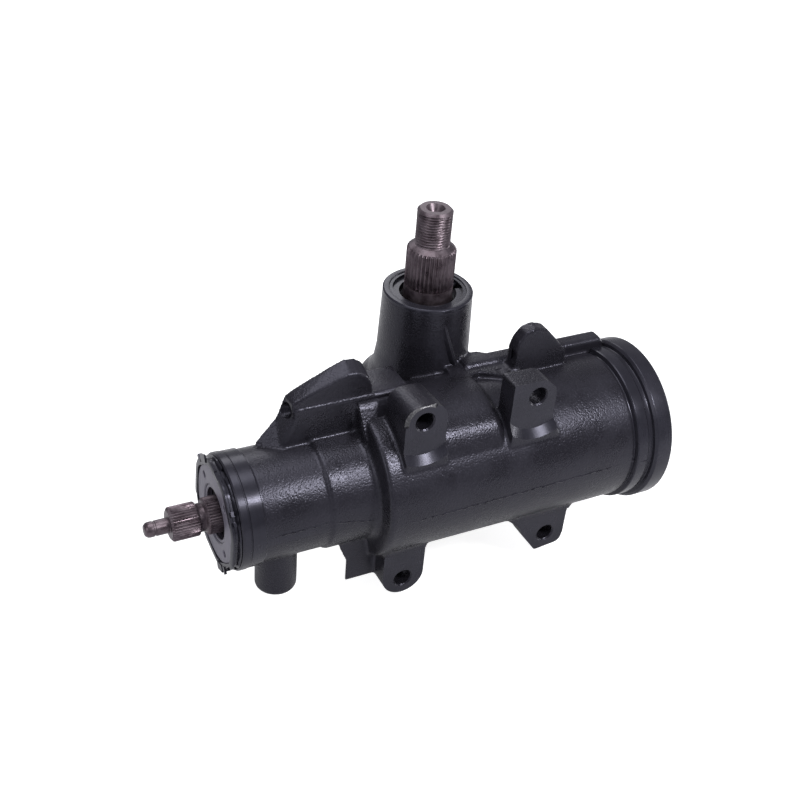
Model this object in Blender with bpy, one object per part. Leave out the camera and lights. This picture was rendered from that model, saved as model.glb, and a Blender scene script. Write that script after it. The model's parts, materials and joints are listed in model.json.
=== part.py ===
"""Recirculating-ball power steering gearbox, built piece by piece at its real size.

The worm and the input shaft turn on the X axis, the rack piston slides along it, and the pitman shaft
stands on a vertical axis behind it. Sizes are in metres. Places along X are measured from the pitman
shaft, and heights from the worm axis. The whole assembly hangs from one empty, gearbox_frame, which
stands it on the ground plane with its box centred.
"""

import math

import bmesh
import bpy
from mathutils import Vector

# Clearances
GAP = 0.0003                      # between two pieces that touch on the real gearbox
OVERRUN = 0.0020                  # how far a cutter runs past the face that it opens

# Pitman shaft and its place
PITMAN_Y = 0.0555                 # distance of the pitman axis behind the worm axis
PITMAN_JOURNAL_RADIUS = 0.0158
PITMAN_SPLINE_RADIUS = 0.0155
PITMAN_SPLINE_DEPTH = 0.0008
PITMAN_SPLINE_COUNT = 22
PITMAN_SPLINE_TOP = 0.1222
PITMAN_SPLINE_LENGTH = 0.0320
PITMAN_SPLINE_CHAMFER = 0.0014
PITMAN_NECK_RADIUS = 0.0100
PITMAN_THREAD_RADIUS = 0.01111
PITMAN_THREAD_LENGTH = 0.0240
PITMAN_THREAD_CHAMFER = 0.0017
PITMAN_SHAFT_TOP = 0.1480
CENTRE_DRILL_RADIUS = 0.0040
CENTRE_DRILL_DEPTH = 0.0040

# Sector gear and rack teeth
TOOTH_MODULE = 0.00325
SECTOR_FULL_COUNT = 16            # teeth that a full circle of the sector gear would have
SECTOR_TEETH = 5
PRESSURE_ANGLE = math.radians(25)
TOOTH_BACKLASH = 0.0006
SECTOR_HALF_HEIGHT = 0.0170
FLANK_POINTS = 4

# Barrel, the large cylinder of the casting
BARREL_RADIUS = 0.0490
BARREL_SHOULDER_X = -0.0660
BARREL_SHOULDER_RADIUS = BARREL_RADIUS - 0.0065
BARREL_FRONT_X = -0.0575
BARREL_END_X = 0.1316
END_BAND_RADIUS = BARREL_RADIUS + 0.0052
END_BAND_LENGTH = 0.0128
FIRST_BAND_RADIUS = BARREL_RADIUS + 0.0022
FIRST_BAND_LENGTH = 0.0085
BAND_GROOVE_LENGTH = 0.0035
BAND_GROOVE_DEPTH = 0.0009
RIM_CHAMFER = 0.0010
PISTON_BORE_RADIUS = 0.0380
PISTON_BORE_FRONT_X = -0.0600

# Valve housing, the small cylinder at the input end
VALVE_HOUSING_RADIUS = 0.0347
VALVE_HOUSING_FRONT_X = -0.1555
COLLAR_RADIUS = VALVE_HOUSING_RADIUS + 0.0013
COLLAR_LENGTH = 0.0150
COLLAR_GROOVE_WIDTH = 0.0010
COLLAR_GROOVE_DEPTH = 0.0008
REAR_SLEEVE_RADIUS = VALVE_HOUSING_RADIUS + 0.0015
REAR_SLEEVE_X = -0.0992
VALVE_BORE_RADIUS = 0.0240
VALVE_BORE_END_X = -0.0665
WORM_PASSAGE_RADIUS = 0.0190

# Sector chamber and pitman boss
CHAMBER_WALL = 0.0070
CHAMBER_BORE_RADIUS = 0.0350
CHAMBER_BORE_TOP = 0.0210
CHAMBER_SHOULDER_Z = 0.0250
BOSS_RADIUS = 0.0286
BOSS_BASE_RADIUS = 0.0300
BOSS_BASE_Z = 0.0500
BOSS_TOP = 0.0930
BOSS_MOUTH_CHAMFER = 0.0018
BEARING_BORE_RADIUS = 0.0203
SEAL_BORE_RADIUS = 0.0223
SEAL_BORE_FLOOR = 0.0755
SEAL_GROOVE_Z = 0.0885
SEAL_GROOVE_DEPTH = 0.0010

# Seals and bearing of the pitman shaft
BEARING_BASE = 0.0290
BEARING_LENGTH = 0.0340
SEAL_HEIGHT = 0.0046
BACKUP_WASHER_HEIGHT = 0.0012
RETAINING_RING_THICKNESS = 0.0016
RETAINING_RING_WIDTH = 0.0050
RETAINING_RING_OPENING = math.radians(16)

# Side cover below the sector chamber
COVER_RADIUS = 0.0500
COVER_THICKNESS = 0.0090
COVER_HUB_RADIUS = 0.0260
COVER_HUB_HEIGHT = 0.0100
COVER_FLOOR = 0.0045
GASKET_THICKNESS = 0.0008
HOUSING_FLANGE_HEIGHT = 0.0110
COVER_BOLT_CIRCLE = 0.0460
COVER_EAR_RADIUS = 0.0098
COVER_BOLT_RADIUS = 0.0048
COVER_BOLT_HEAD_ACROSS = 0.0142
COVER_BOLT_HEAD_HEIGHT = 0.0060
COVER_BOLT_WASHER_RADIUS = 0.0088
COVER_BOLT_WASHER_HEIGHT = 0.0014
COVER_BOLT_GRIP = 0.0160          # length of thread in the casting
BUSHING_WALL = 0.0030
BUSHING_LENGTH = 0.0130
ADJUSTER_SCREW_RADIUS = 0.0048
ADJUSTER_HEAD_RADIUS = 0.0070
ADJUSTER_HEAD_HEIGHT = 0.0050
ADJUSTER_POCKET_DEPTH = 0.0062
ADJUSTER_NUT_ACROSS = 0.0160
ADJUSTER_NUT_HEIGHT = 0.0050
ADJUSTER_SCREW_END = 0.0028       # screw standing out of the nut
ADJUSTER_HEX_ACROSS = 0.0050
ADJUSTER_HEX_DEPTH = 0.0040

# Frame mounting lugs, whose faces are in one vertical plane
LUG_FACE_Y = -0.0345
LUG_HOLE_RADIUS = 0.0057
UPPER_LUG_HOLE_DEPTH = 0.0220
UPPER_HOLE_Z = 0.0607
LEFT_UPPER_HOLE_X = -0.0443
RIGHT_UPPER_HOLE_X = 0.0322
LEFT_LOWER_HOLE_X = -0.0492
RIGHT_LOWER_HOLE_X = 0.0557
LEFT_LOWER_HOLE_Z = -0.0596
RIGHT_LOWER_HOLE_Z = -0.0548
SPOTFACE_RADIUS = 0.0288
LEFT_UPPER_LUG_BACK_Y = -0.0060
RIGHT_UPPER_LUG_BACK_Y = -0.0190
LOWER_LUG_THICKNESS = 0.0140
LOWER_LUG_HALF_WIDTH = 0.0142
LUG_RELIEF_RADIUS = 0.0092        # round relief behind the right upper lug
LUG_RELIEF_END_Y = 0.0120

# Wing on the valve housing
WING_FRONT_Y = 0.0040
WING_THICKNESS = 0.0105
WING_FOOT_REACH = 0.0080
WING_END_X = -0.1110
WING_PEAK_X = -0.0755
WING_PEAK_Z = 0.0807
WING_CORNER_Z = 0.0632
WING_HOLE_RADIUS = 0.0042
WING_HOLE_DEPTH = 0.0140

# Webs and ribs on top of the casting
SHOULDER_LEFT_X = -0.0710
SHOULDER_RIGHT_X = -0.0360
SHOULDER_FRONT_Y = 0.0045
SHOULDER_BACK_Y = 0.0290
SHOULDER_STEP_Z = 0.0565
SHOULDER_TOP_Z = 0.0600
BULGE_RADIUS = BARREL_RADIUS + 0.0045
BULGE_CORNER = 0.0060
BULGE_LEFT_X = -0.0500
BULGE_RIGHT_X = 0.0125
BULGE_FRONT_ANGLE = 46.0
WEB_TOP_Z = 0.0520
WEB_THICKNESS = 0.0160
TOP_LUG_X = 0.0401
TOP_LUG_FRONT_Y = 0.0070
TOP_LUG_THICKNESS = 0.0100
TOP_LUG_TOP_Z = 0.0800
RIB_FRONT_Y = 0.0180
RIB_WIDTH = 0.0115
RIB_TOP_Z = BARREL_RADIUS + 0.0055
RIB_START_X = 0.0120
RIB_END_X = 0.1160

# Hose ports and the pad beside them
PRESSURE_PORT_X = -0.1247
PRESSURE_PORT_Y = -0.0080
PRESSURE_PORT_BOTTOM = -0.0600
RETURN_PORT_X = -0.0980
RETURN_PORT_Y = 0.0200
RETURN_PORT_BOTTOM = -0.0440
PORT_BOSS_RADIUS = 0.0131
PORT_THREAD_RADIUS = 0.0080
PORT_THREAD_DEPTH = 0.0150
PORT_SEAT_RADIUS = 0.0062
PORT_SEAT_HEIGHT = 0.0045
PORT_SEAT_BORE = 0.0028
PORT_DRILL_RADIUS = 0.0030
PAD_LEFT_X = -0.0838
PAD_RIGHT_X = -0.0560
PAD_FRONT_Y = -0.0220
PAD_BACK_Y = -0.0120
PAD_SLANT = 0.58                  # how far the left side leans towards the lug, per unit of depth
PAD_BOTTOM_Z = -0.0610

# Adjuster plug, its lock ring and the seals in its mouth
PLUG_FACE_X = -0.1607
PLUG_COUNTERBORE_RADIUS = VALVE_HOUSING_RADIUS - 0.0049
PLUG_FACE_RADIUS = PLUG_COUNTERBORE_RADIUS + 0.0005
PLUG_THREAD_RADIUS = PLUG_COUNTERBORE_RADIUS - 0.0005
PLUG_END_X = -0.1340
PLUG_MOUTH_RADIUS = 0.0180
PLUG_MOUTH_FLOOR_X = -0.1500
PLUG_BEARING_RADIUS = 0.0146
PLUG_SPANNER_HOLES = 4
PLUG_SPANNER_HOLE_RADIUS = 0.0022
PLUG_SPANNER_HOLE_DEPTH = 0.0040
PLUG_MOUTH_RING_INSET = 0.0030
PLUG_O_RING_X = -0.1385
PLUG_O_RING_SECTION = 0.0022
LOCK_RING_RADIUS = VALVE_HOUSING_RADIUS + 0.0005
LOCK_RING_FRONT_X = -0.1612
LOCK_RING_NOTCHES = 3
LOCK_RING_FIRST_NOTCH = math.radians(100)
LOCK_RING_NOTCH_WIDTH = 0.0070
LOCK_RING_NOTCH_DEPTH = 0.0026
STUB_SEAL_LENGTH = 0.0030
STUB_BEARING_LENGTH = 0.0135

# Input shaft (stub shaft), torsion bar and spool
STUB_PILOT_TIP_X = -0.2027
STUB_PILOT_RADIUS = 0.00467
STUB_PILOT_CHAMFER = 0.0016
STUB_SPLINE_FRONT_X = -0.1883
STUB_SPLINE_LENGTH = 0.0171
STUB_SPLINE_RADIUS = 0.01035
STUB_SPLINE_COUNT = 20
STUB_SPLINE_DEPTH = 0.0006
STUB_SPLINE_CHAMFER = 0.0010
STUB_NECK_RADIUS = 0.0086
STUB_NECK_LENGTH = 0.0052
STUB_COLLAR_RADIUS = 0.0112
STUB_COLLAR_LENGTH = 0.0090
STUB_JOURNAL_RADIUS = 0.0120
STUB_TAIL_RADIUS = 0.0100
STUB_TAIL_DEPTH = 0.0070          # how far the tail reaches into the worm head
SPOOL_RADIUS = 0.0158
SPOOL_LENGTH = 0.0310
SPOOL_SLOTS = 6
SPOOL_SLOT_RADIUS = 0.0024
SPOOL_SLOT_LENGTH = 0.0220
TORSION_BAR_RADIUS = 0.0040
TORSION_BAR_WAIST = 0.0034
TORSION_BAR_FRONT_X = -0.1820
TORSION_BAR_HOLD = 0.0100         # length held in the worm
TORSION_PIN_RADIUS = 0.0018
TORSION_PIN_X = -0.1420

# Rotary valve body and its seal rings
VALVE_BODY_RADIUS = 0.0232
VALVE_BODY_WALL = 0.0071
VALVE_BODY_LENGTH = 0.0380
VALVE_RING_COUNT = 3
VALVE_RING_WIDTH = 0.0024
VALVE_RING_DEPTH = 0.0018
VALVE_RING_STANDOUT = 0.0004
DRIVE_PIN_RADIUS = 0.0015
DRIVE_PIN_CIRCLE = 0.0194
DRIVE_PIN_LENGTH = 0.0060

# Worm and its thrust bearings
WORM_LEAD = 0.0117
WORM_HAND = 1
WORM_RADIUS = 0.0145
WORM_GROOVE_START_X = -0.0300
WORM_END_X = 0.0520
WORM_NECK_RADIUS = 0.0120
WORM_HEAD_RADIUS = 0.0225
WORM_RINGS_PER_LEAD = 6
WORM_SEGMENTS = 16
THRUST_BEARING_THICKNESS = 0.0030
THRUST_BEARING_BORE = 0.0126
THRUST_BEARING_RADIUS = 0.0222

# Balls and ball circuit
BALL_RADIUS = 0.0032
BALL_CIRCLE = 0.0154
BALL_COUNT = 10
BALL_STEP = math.radians(42)
BALL_START_X = 0.0140
RACE_START_X = 0.0060
RACE_LENGTH = 0.0340

# Rack piston
RACK_FRONT_X = -0.0360
RACK_LENGTH = 0.1240
RACK_WORM_CLEARANCE = 0.0017
RACK_RELIEF_HALF = 0.0360         # half length of the flat that clears the sector
RACK_RING_INSET = 0.0090
RACK_RING_WIDTH = 0.0040
RACK_RING_DEPTH = 0.0032
RACK_PLUG_LENGTH = 0.0110
RACK_PLUG_SOCKET = 0.0120
RACK_PLUG_SOCKET_DEPTH = 0.0070
GUIDE_POCKET_Y = -0.0250
GUIDE_POCKET_START_X = 0.0010
GUIDE_POCKET_LENGTH = 0.0440
GUIDE_POCKET_HALF_HEIGHT = 0.0185
GUIDE_TUBE_RADIUS = 0.0043
GUIDE_TUBE_WALL = 0.0008
GUIDE_TUBE_Y = -0.0297
GUIDE_LEG_INSET = 0.0100          # from the pocket's ends to the legs, along X
GUIDE_LEG_Z = 0.0095
GUIDE_LEG_END_Y = -0.0200
GUIDE_BEND_RADIUS = 0.0056
CLAMP_WIDTH = 0.0080
CLAMP_THICKNESS = 0.0013
CLAMP_INNER_HALF_HEIGHT = 0.0098
CLAMP_FOOT_END = 0.0182
CLAMP_SCREW_Z = 0.0148
CLAMP_SCREW_RADIUS = 0.0016
CLAMP_SCREW_HEAD_RADIUS = 0.0030
CLAMP_SCREW_HEAD_HEIGHT = 0.0020
CLAMP_SCREW_LENGTH = 0.0060

# End plug and the wire ring that keeps it in the barrel
END_BORE_RADIUS = 0.0423
END_BORE_FLOOR_X = 0.1120
END_PLUG_INSET = 0.0010           # from the bore's floor to the plug
END_PLUG_THICKNESS = 0.0135
END_PLUG_DISH_RADIUS = 0.0280
END_PLUG_DISH_DEPTH = 0.0060
END_O_RING_SECTION = 0.0030
END_RING_THICKNESS = 0.0018
END_RING_WIDTH = 0.0040
END_RING_SEAT = 0.0017            # depth of the ring's groove in the barrel
END_RING_OPENING = math.radians(12)

# Facets on round pieces
FINE = 36
BORE = 32
ROUND = 24
INNER = 20
SMALL = 14
TINY = 8

# Places worked out from the sizes above
SECTOR_PITCH_RADIUS = TOOTH_MODULE * SECTOR_FULL_COUNT / 2
TOOTH_PITCH = math.pi * TOOTH_MODULE
TOOTH_ADDENDUM = 0.90 * TOOTH_MODULE
TOOTH_DEDENDUM = 1.15 * TOOTH_MODULE
RACK_PITCH_Y = PITMAN_Y - SECTOR_PITCH_RADIUS
CHAMBER_RADIUS = CHAMBER_BORE_RADIUS + CHAMBER_WALL
COVER_FACE_Z = -BARREL_RADIUS
GASKET_TOP = COVER_FACE_Z - GAP
COVER_TOP = GASKET_TOP - GASKET_THICKNESS - GAP
COVER_BOTTOM = COVER_TOP - COVER_THICKNESS
HUB_BOTTOM = COVER_BOTTOM - COVER_HUB_HEIGHT
COVER_CAVITY_FLOOR = HUB_BOTTOM + COVER_FLOOR
PITMAN_SHAFT_BOTTOM = COVER_CAVITY_FLOOR + GAP
ADJUSTER_NUT_TOP = HUB_BOTTOM - GAP
ADJUSTER_NUT_BOTTOM = ADJUSTER_NUT_TOP - ADJUSTER_NUT_HEIGHT
LOWEST_Z = ADJUSTER_NUT_BOTTOM - ADJUSTER_SCREW_END
VALVE_STACK_END_X = VALVE_BORE_END_X - GAP
WORM_HEAD_REAR_X = VALVE_STACK_END_X - THRUST_BEARING_THICKNESS - GAP
VALVE_BODY_FRONT_X = PLUG_END_X + GAP + THRUST_BEARING_THICKNESS + GAP
VALVE_BODY_REAR_X = VALVE_BODY_FRONT_X + VALVE_BODY_LENGTH
WORM_HEAD_FRONT_X = VALVE_BODY_REAR_X + GAP
STUB_TAIL_X = WORM_HEAD_FRONT_X + STUB_TAIL_DEPTH
VALVE_BODY_BORE = VALVE_BODY_RADIUS - VALVE_BODY_WALL
RACK_RADIUS = PISTON_BORE_RADIUS - GAP
RACK_END_X = RACK_FRONT_X + RACK_LENGTH
RACK_BORE = WORM_RADIUS + RACK_WORM_CLEARANCE
RACE_RADIUS = BALL_CIRCLE + BALL_RADIUS + GAP
GROOVE_RADIUS = BALL_RADIUS + GAP
END_PLUG_X = END_BORE_FLOOR_X + END_PLUG_INSET
END_PLUG_REAR_X = END_PLUG_X + END_PLUG_THICKNESS
END_RING_X = END_PLUG_REAR_X + GAP
COVER_BOLT_ANGLES = [math.radians(45 + 90 * quarter) for quarter in range(4)]


def material(name, colour, roughness, metallic):
    """A Principled material with one colour, roughness and metallic value."""
    made = bpy.data.materials.new(name)
    made.use_nodes = True
    shader = made.node_tree.nodes["Principled BSDF"]
    shader.inputs["Base Color"].default_value = (*colour, 1.0)
    shader.inputs["Roughness"].default_value = roughness
    shader.inputs["Metallic"].default_value = metallic
    made.diffuse_color = (*colour, 1.0)
    return made


def add_object(name, mesh, finish=None, parent=None, location=(0.0, 0.0, 0.0)):
    """Links a mesh into the scene under a parent, at a place in the parent's frame."""
    made = bpy.data.objects.new(name, mesh)
    bpy.context.scene.collection.objects.link(made)
    made.parent = parent
    made.location = location
    if finish:
        mesh.materials.append(finish)
    mesh.shade_smooth()
    mesh.set_sharp_from_angle(angle=math.radians(35))
    return made


def mesh_from(name, build):
    """Runs build on an empty bmesh, turns its faces outwards and returns the mesh."""
    shape = bmesh.new()
    build(shape)
    bmesh.ops.remove_doubles(shape, verts=shape.verts, dist=1e-7)
    bmesh.ops.recalc_face_normals(shape, faces=shape.faces)
    mesh = bpy.data.meshes.new(name)
    shape.to_mesh(mesh)
    shape.free()
    return mesh


def on_axis(axis, station, across, along):
    """A point given by its station on an axis and two distances from it."""
    if axis == "X":
        return Vector((station, across, along))
    if axis == "Y":
        return Vector((across, station, along))
    return Vector((across, along, station))


def turned(name, axis, profile, segments, ring=False):
    """A body turned about an axis from (station, radius) points. A ring's profile closes on itself."""

    def build(shape):
        loops = []
        for station, radius in profile:
            if radius <= 0.0:
                loops.append([shape.verts.new(on_axis(axis, station, 0.0, 0.0))])
                continue
            loop = []
            for step in range(segments):
                angle = 2 * math.pi * step / segments
                point = on_axis(axis, station, radius * math.cos(angle), radius * math.sin(angle))
                loop.append(shape.verts.new(point))
            loops.append(loop)
        pairs = list(zip(loops, loops[1:]))
        if ring:
            pairs.append((loops[-1], loops[0]))
        for near, far in pairs:
            for step in range(segments):
                after = (step + 1) % segments
                corners = [near[step % len(near)], near[after % len(near)]]
                corners += [far[after % len(far)], far[step % len(far)]]
                face = list(dict.fromkeys(corners))
                if len(face) > 2:
                    shape.faces.new(face)

    return mesh_from(name, build)


def solid_profile(*points):
    """Closes an open (station, radius) profile onto its axis at both ends."""
    return [(points[0][0], 0.0), *points, (points[-1][0], 0.0)]


def ring_profile(start, end, inner, outer):
    """The four corners of a plain ring."""
    return [(start, inner), (start, outer), (end, outer), (end, inner)]


def arc(centre, radius, start, end, steps):
    """Points on an arc, both ends included. Angles are in degrees."""
    points = []
    for step in range(steps + 1):
        angle = math.radians(start + (end - start) * step / steps)
        points.append((centre[0] + radius * math.cos(angle), centre[1] + radius * math.sin(angle)))
    return points


def rounded(corners, steps=4):
    """An outline whose (x, y, radius) corners are rounded where the radius isn't zero."""
    outline = []
    count = len(corners)
    for index, (x, y, radius) in enumerate(corners):
        here = Vector((x, y))
        if radius <= 0.0:
            outline.append((x, y))
            continue
        before = (Vector(corners[index - 1][:2]) - here).normalized()
        after = (Vector(corners[(index + 1) % count][:2]) - here).normalized()
        half = before.angle(after) / 2
        reach = radius / math.tan(half)
        centre = here + (before + after).normalized() * radius / math.sin(half)
        first = here + before * reach - centre
        sweep = first.angle_signed(here + after * reach - centre)
        for step in range(steps + 1):
            angle = -sweep * step / steps
            turned_by = Vector((
                first.x * math.cos(angle) - first.y * math.sin(angle),
                first.x * math.sin(angle) + first.y * math.cos(angle),
            ))
            outline.append(tuple(centre + turned_by))
    return outline


def prism(name, axis, outline, low, high):
    """An outline extruded along an axis. Its points are the other two coordinates, in X, Y, Z order."""

    def build(shape):
        bottom = [shape.verts.new(on_axis(axis, low, *point)) for point in outline]
        top = [shape.verts.new(on_axis(axis, high, *point)) for point in outline]
        shape.faces.new(bottom)
        shape.faces.new(top)
        for index in range(len(outline)):
            after = (index + 1) % len(outline)
            shape.faces.new([bottom[index], bottom[after], top[after], top[index]])

    return mesh_from(name, build)


def hexagon(across):
    """The six corners of a hexagon, given its width across flats."""
    return arc((0.0, 0.0), across / 2 / math.cos(math.pi / 6), 0, 300, 5)


def combine(target, operation, pieces):
    """Adds or cuts a group of hidden helper pieces with one Boolean."""
    group = bpy.data.collections.new(f"{target.name}_{operation.lower()}")
    group.hide_render = True
    bpy.context.scene.collection.children.link(group)
    for index, (mesh, location) in enumerate(pieces):
        helper = bpy.data.objects.new(f"{group.name}_{index}", mesh)
        group.objects.link(helper)
        helper.parent = target
        helper.location = location
        helper.hide_render = True
        helper.display_type = "WIRE"
    boolean = target.modifiers.new(operation.title(), "BOOLEAN")
    boolean.operation = operation
    boolean.operand_type = "COLLECTION"
    boolean.collection = group
    boolean.solver = "EXACT"


HERE = (0.0, 0.0, 0.0)
AT_PITMAN = (0.0, PITMAN_Y, 0.0)


def barrel_profile():
    """Outside of the barrel from its shoulder to the open end, with its two bands."""
    end_band_x = BARREL_END_X - END_BAND_LENGTH
    first_band_end = end_band_x - BAND_GROOVE_LENGTH
    first_band_x = first_band_end - FIRST_BAND_LENGTH
    groove_x = first_band_x - BAND_GROOVE_LENGTH
    return solid_profile(
        (VALVE_BORE_END_X - 0.008, VALVE_HOUSING_RADIUS - 0.004),
        (BARREL_SHOULDER_X - 0.004, REAR_SLEEVE_RADIUS),
        (BARREL_SHOULDER_X, BARREL_SHOULDER_RADIUS),
        (BARREL_FRONT_X, BARREL_RADIUS),
        (groove_x, BARREL_RADIUS),
        (groove_x + BAND_GROOVE_DEPTH, BARREL_RADIUS - BAND_GROOVE_DEPTH),
        (first_band_x - BAND_GROOVE_DEPTH, BARREL_RADIUS - BAND_GROOVE_DEPTH),
        (first_band_x, FIRST_BAND_RADIUS),
        (first_band_end, FIRST_BAND_RADIUS),
        (first_band_end + BAND_GROOVE_DEPTH, FIRST_BAND_RADIUS - BAND_GROOVE_DEPTH),
        (end_band_x - BAND_GROOVE_DEPTH, FIRST_BAND_RADIUS - BAND_GROOVE_DEPTH),
        (end_band_x, END_BAND_RADIUS),
        (BARREL_END_X - RIM_CHAMFER, END_BAND_RADIUS),
        (BARREL_END_X, END_BAND_RADIUS - RIM_CHAMFER),
    )


def valve_housing_profile():
    """Outside of the valve housing, from its machined front face to the barrel."""
    collar_end = VALVE_HOUSING_FRONT_X + COLLAR_LENGTH
    middle = VALVE_HOUSING_FRONT_X + COLLAR_LENGTH / 3
    return solid_profile(
        (VALVE_HOUSING_FRONT_X, COLLAR_RADIUS - RIM_CHAMFER),
        (VALVE_HOUSING_FRONT_X + RIM_CHAMFER, COLLAR_RADIUS),
        (middle, COLLAR_RADIUS),
        (middle + COLLAR_GROOVE_WIDTH / 2, COLLAR_RADIUS - COLLAR_GROOVE_DEPTH),
        (middle + COLLAR_GROOVE_WIDTH, COLLAR_RADIUS),
        (collar_end - COLLAR_GROOVE_WIDTH, COLLAR_RADIUS),
        (collar_end, VALVE_HOUSING_RADIUS),
        (REAR_SLEEVE_X - (REAR_SLEEVE_RADIUS - VALVE_HOUSING_RADIUS), VALVE_HOUSING_RADIUS),
        (REAR_SLEEVE_X, REAR_SLEEVE_RADIUS),
        (BARREL_FRONT_X, REAR_SLEEVE_RADIUS),
    )


def bore_profile():
    """The line bore through the casting, from the adjuster plug to the end plug."""
    ring_end = END_RING_X + END_RING_THICKNESS
    return solid_profile(
        (VALVE_HOUSING_FRONT_X - OVERRUN, PLUG_COUNTERBORE_RADIUS),
        (PLUG_END_X, PLUG_COUNTERBORE_RADIUS),
        (PLUG_END_X, VALVE_BORE_RADIUS),
        (VALVE_BORE_END_X, VALVE_BORE_RADIUS),
        (VALVE_BORE_END_X, WORM_PASSAGE_RADIUS),
        (PISTON_BORE_FRONT_X, WORM_PASSAGE_RADIUS),
        (PISTON_BORE_FRONT_X, PISTON_BORE_RADIUS),
        (END_BORE_FLOOR_X, PISTON_BORE_RADIUS),
        (END_BORE_FLOOR_X, END_BORE_RADIUS),
        (END_RING_X - GAP, END_BORE_RADIUS),
        (END_RING_X - GAP, END_BORE_RADIUS + END_RING_SEAT + GAP),
        (ring_end + GAP, END_BORE_RADIUS + END_RING_SEAT + GAP),
        (ring_end + GAP, END_BORE_RADIUS),
        (BARREL_END_X + OVERRUN, END_BORE_RADIUS),
    )


def chamber_profile():
    """Outside of the sector chamber and the pitman boss, about the pitman axis."""
    return solid_profile(
        (COVER_FACE_Z, CHAMBER_RADIUS),
        (CHAMBER_SHOULDER_Z - 0.004, CHAMBER_RADIUS),
        (CHAMBER_SHOULDER_Z + 0.003, CHAMBER_RADIUS - 0.003),
        (CHAMBER_SHOULDER_Z + 0.007, CHAMBER_RADIUS - 0.008),
        (BOSS_BASE_Z, BOSS_BASE_RADIUS),
        (BOSS_TOP - RIM_CHAMFER, BOSS_RADIUS),
        (BOSS_TOP, BOSS_RADIUS - RIM_CHAMFER),
    )


def chamber_bore_profile():
    """Inside of the sector chamber, the bearing bore and the seal bore above it."""
    groove_top = SEAL_GROOVE_Z + RETAINING_RING_THICKNESS + 2 * GAP
    groove_radius = SEAL_BORE_RADIUS + SEAL_GROOVE_DEPTH
    return solid_profile(
        (COVER_FACE_Z - OVERRUN, CHAMBER_BORE_RADIUS),
        (CHAMBER_BORE_TOP, CHAMBER_BORE_RADIUS),
        (CHAMBER_BORE_TOP, BEARING_BORE_RADIUS),
        (SEAL_BORE_FLOOR, BEARING_BORE_RADIUS),
        (SEAL_BORE_FLOOR, SEAL_BORE_RADIUS),
        (SEAL_GROOVE_Z, SEAL_BORE_RADIUS),
        (SEAL_GROOVE_Z, groove_radius),
        (groove_top, groove_radius),
        (groove_top, SEAL_BORE_RADIUS),
        (BOSS_TOP - BOSS_MOUTH_CHAMFER, SEAL_BORE_RADIUS),
        (BOSS_TOP, SEAL_BORE_RADIUS + BOSS_MOUTH_CHAMFER),
        (BOSS_TOP + OVERRUN, SEAL_BORE_RADIUS + BOSS_MOUTH_CHAMFER + OVERRUN),
    )


def frame_lug(name, outline, back_y):
    """A mounting lug whose face lies in the plane of all four."""
    return prism(name, "Y", outline, LUG_FACE_Y, back_y)


def frame_lugs():
    """The four lugs that bolt the gearbox to a frame rail, drawn around their holes."""
    left, right = LEFT_UPPER_HOLE_X, RIGHT_UPPER_HOLE_X
    top = UPPER_HOLE_Z + 0.0114
    root = UPPER_HOLE_Z - 0.0330
    upper_left = rounded([
        (left - 0.0127, root, 0),
        (left - 0.0127, top, 0.0110),
        (left + 0.0148, top, 0.0110),
        (left + 0.0148, root, 0),
    ], 5)
    upper_right = rounded([
        (right - 0.0177, root, 0),
        (right - 0.0177, top, 0.0008),
        (right + 0.0045, top, 0.0070),
        (right + 0.0131, top - 0.0085, 0.0070),
        (right + 0.0131, UPPER_HOLE_Z - 0.0180, 0.0050),
        (right + 0.0180, root, 0),
    ])
    half = LOWER_LUG_HALF_WIDTH
    low_left = LEFT_LOWER_HOLE_Z + 0.0026
    lower_left = [(LEFT_LOWER_HOLE_X - half, -PISTON_BORE_RADIUS / 2)]
    lower_left += arc((LEFT_LOWER_HOLE_X, low_left), half, 180, 360, 10)
    lower_left += [(LEFT_LOWER_HOLE_X + half, -PISTON_BORE_RADIUS / 2)]
    right, low = RIGHT_LOWER_HOLE_X, RIGHT_LOWER_HOLE_Z
    lower_right = rounded([
        (right - 0.0390, low + 0.0280, 0),
        (right - 0.0300, low + 0.0188, 0),
        (right - 0.0209, low + 0.0101, 0.0060),
        (right - 0.0174, low + 0.0021, 0.0060),
        (right - 0.0106, low - 0.0071, 0.0030),
        (right - 0.0065, low - 0.0128, 0.0020),
        (right + 0.0126, low - 0.0106, 0.0050),
        (right + 0.0143, low - 0.0030, 0.0040),
        (right + 0.0145, low + 0.0155, 0.0040),
        (right + 0.0190, low + 0.0280, 0),
    ], 3)
    lower_back = LUG_FACE_Y + LOWER_LUG_THICKNESS
    return [
        frame_lug("left_upper_lug", upper_left, LEFT_UPPER_LUG_BACK_Y),
        frame_lug("right_upper_lug", upper_right, RIGHT_UPPER_LUG_BACK_Y),
        frame_lug("left_lower_lug", lower_left, lower_back),
        frame_lug("right_lower_lug", lower_right, lower_back),
    ]


def loft(name, axis, first, second, low, high):
    """A prism whose outline changes from one end to the other, with as many points at both."""

    def build(shape):
        bottom = [shape.verts.new(on_axis(axis, low, *point)) for point in first]
        top = [shape.verts.new(on_axis(axis, high, *point)) for point in second]
        shape.faces.new(bottom)
        shape.faces.new(top)
        for index in range(len(first)):
            after = (index + 1) % len(first)
            shape.faces.new([bottom[index], bottom[after], top[after], top[index]])

    return mesh_from(name, build)


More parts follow.
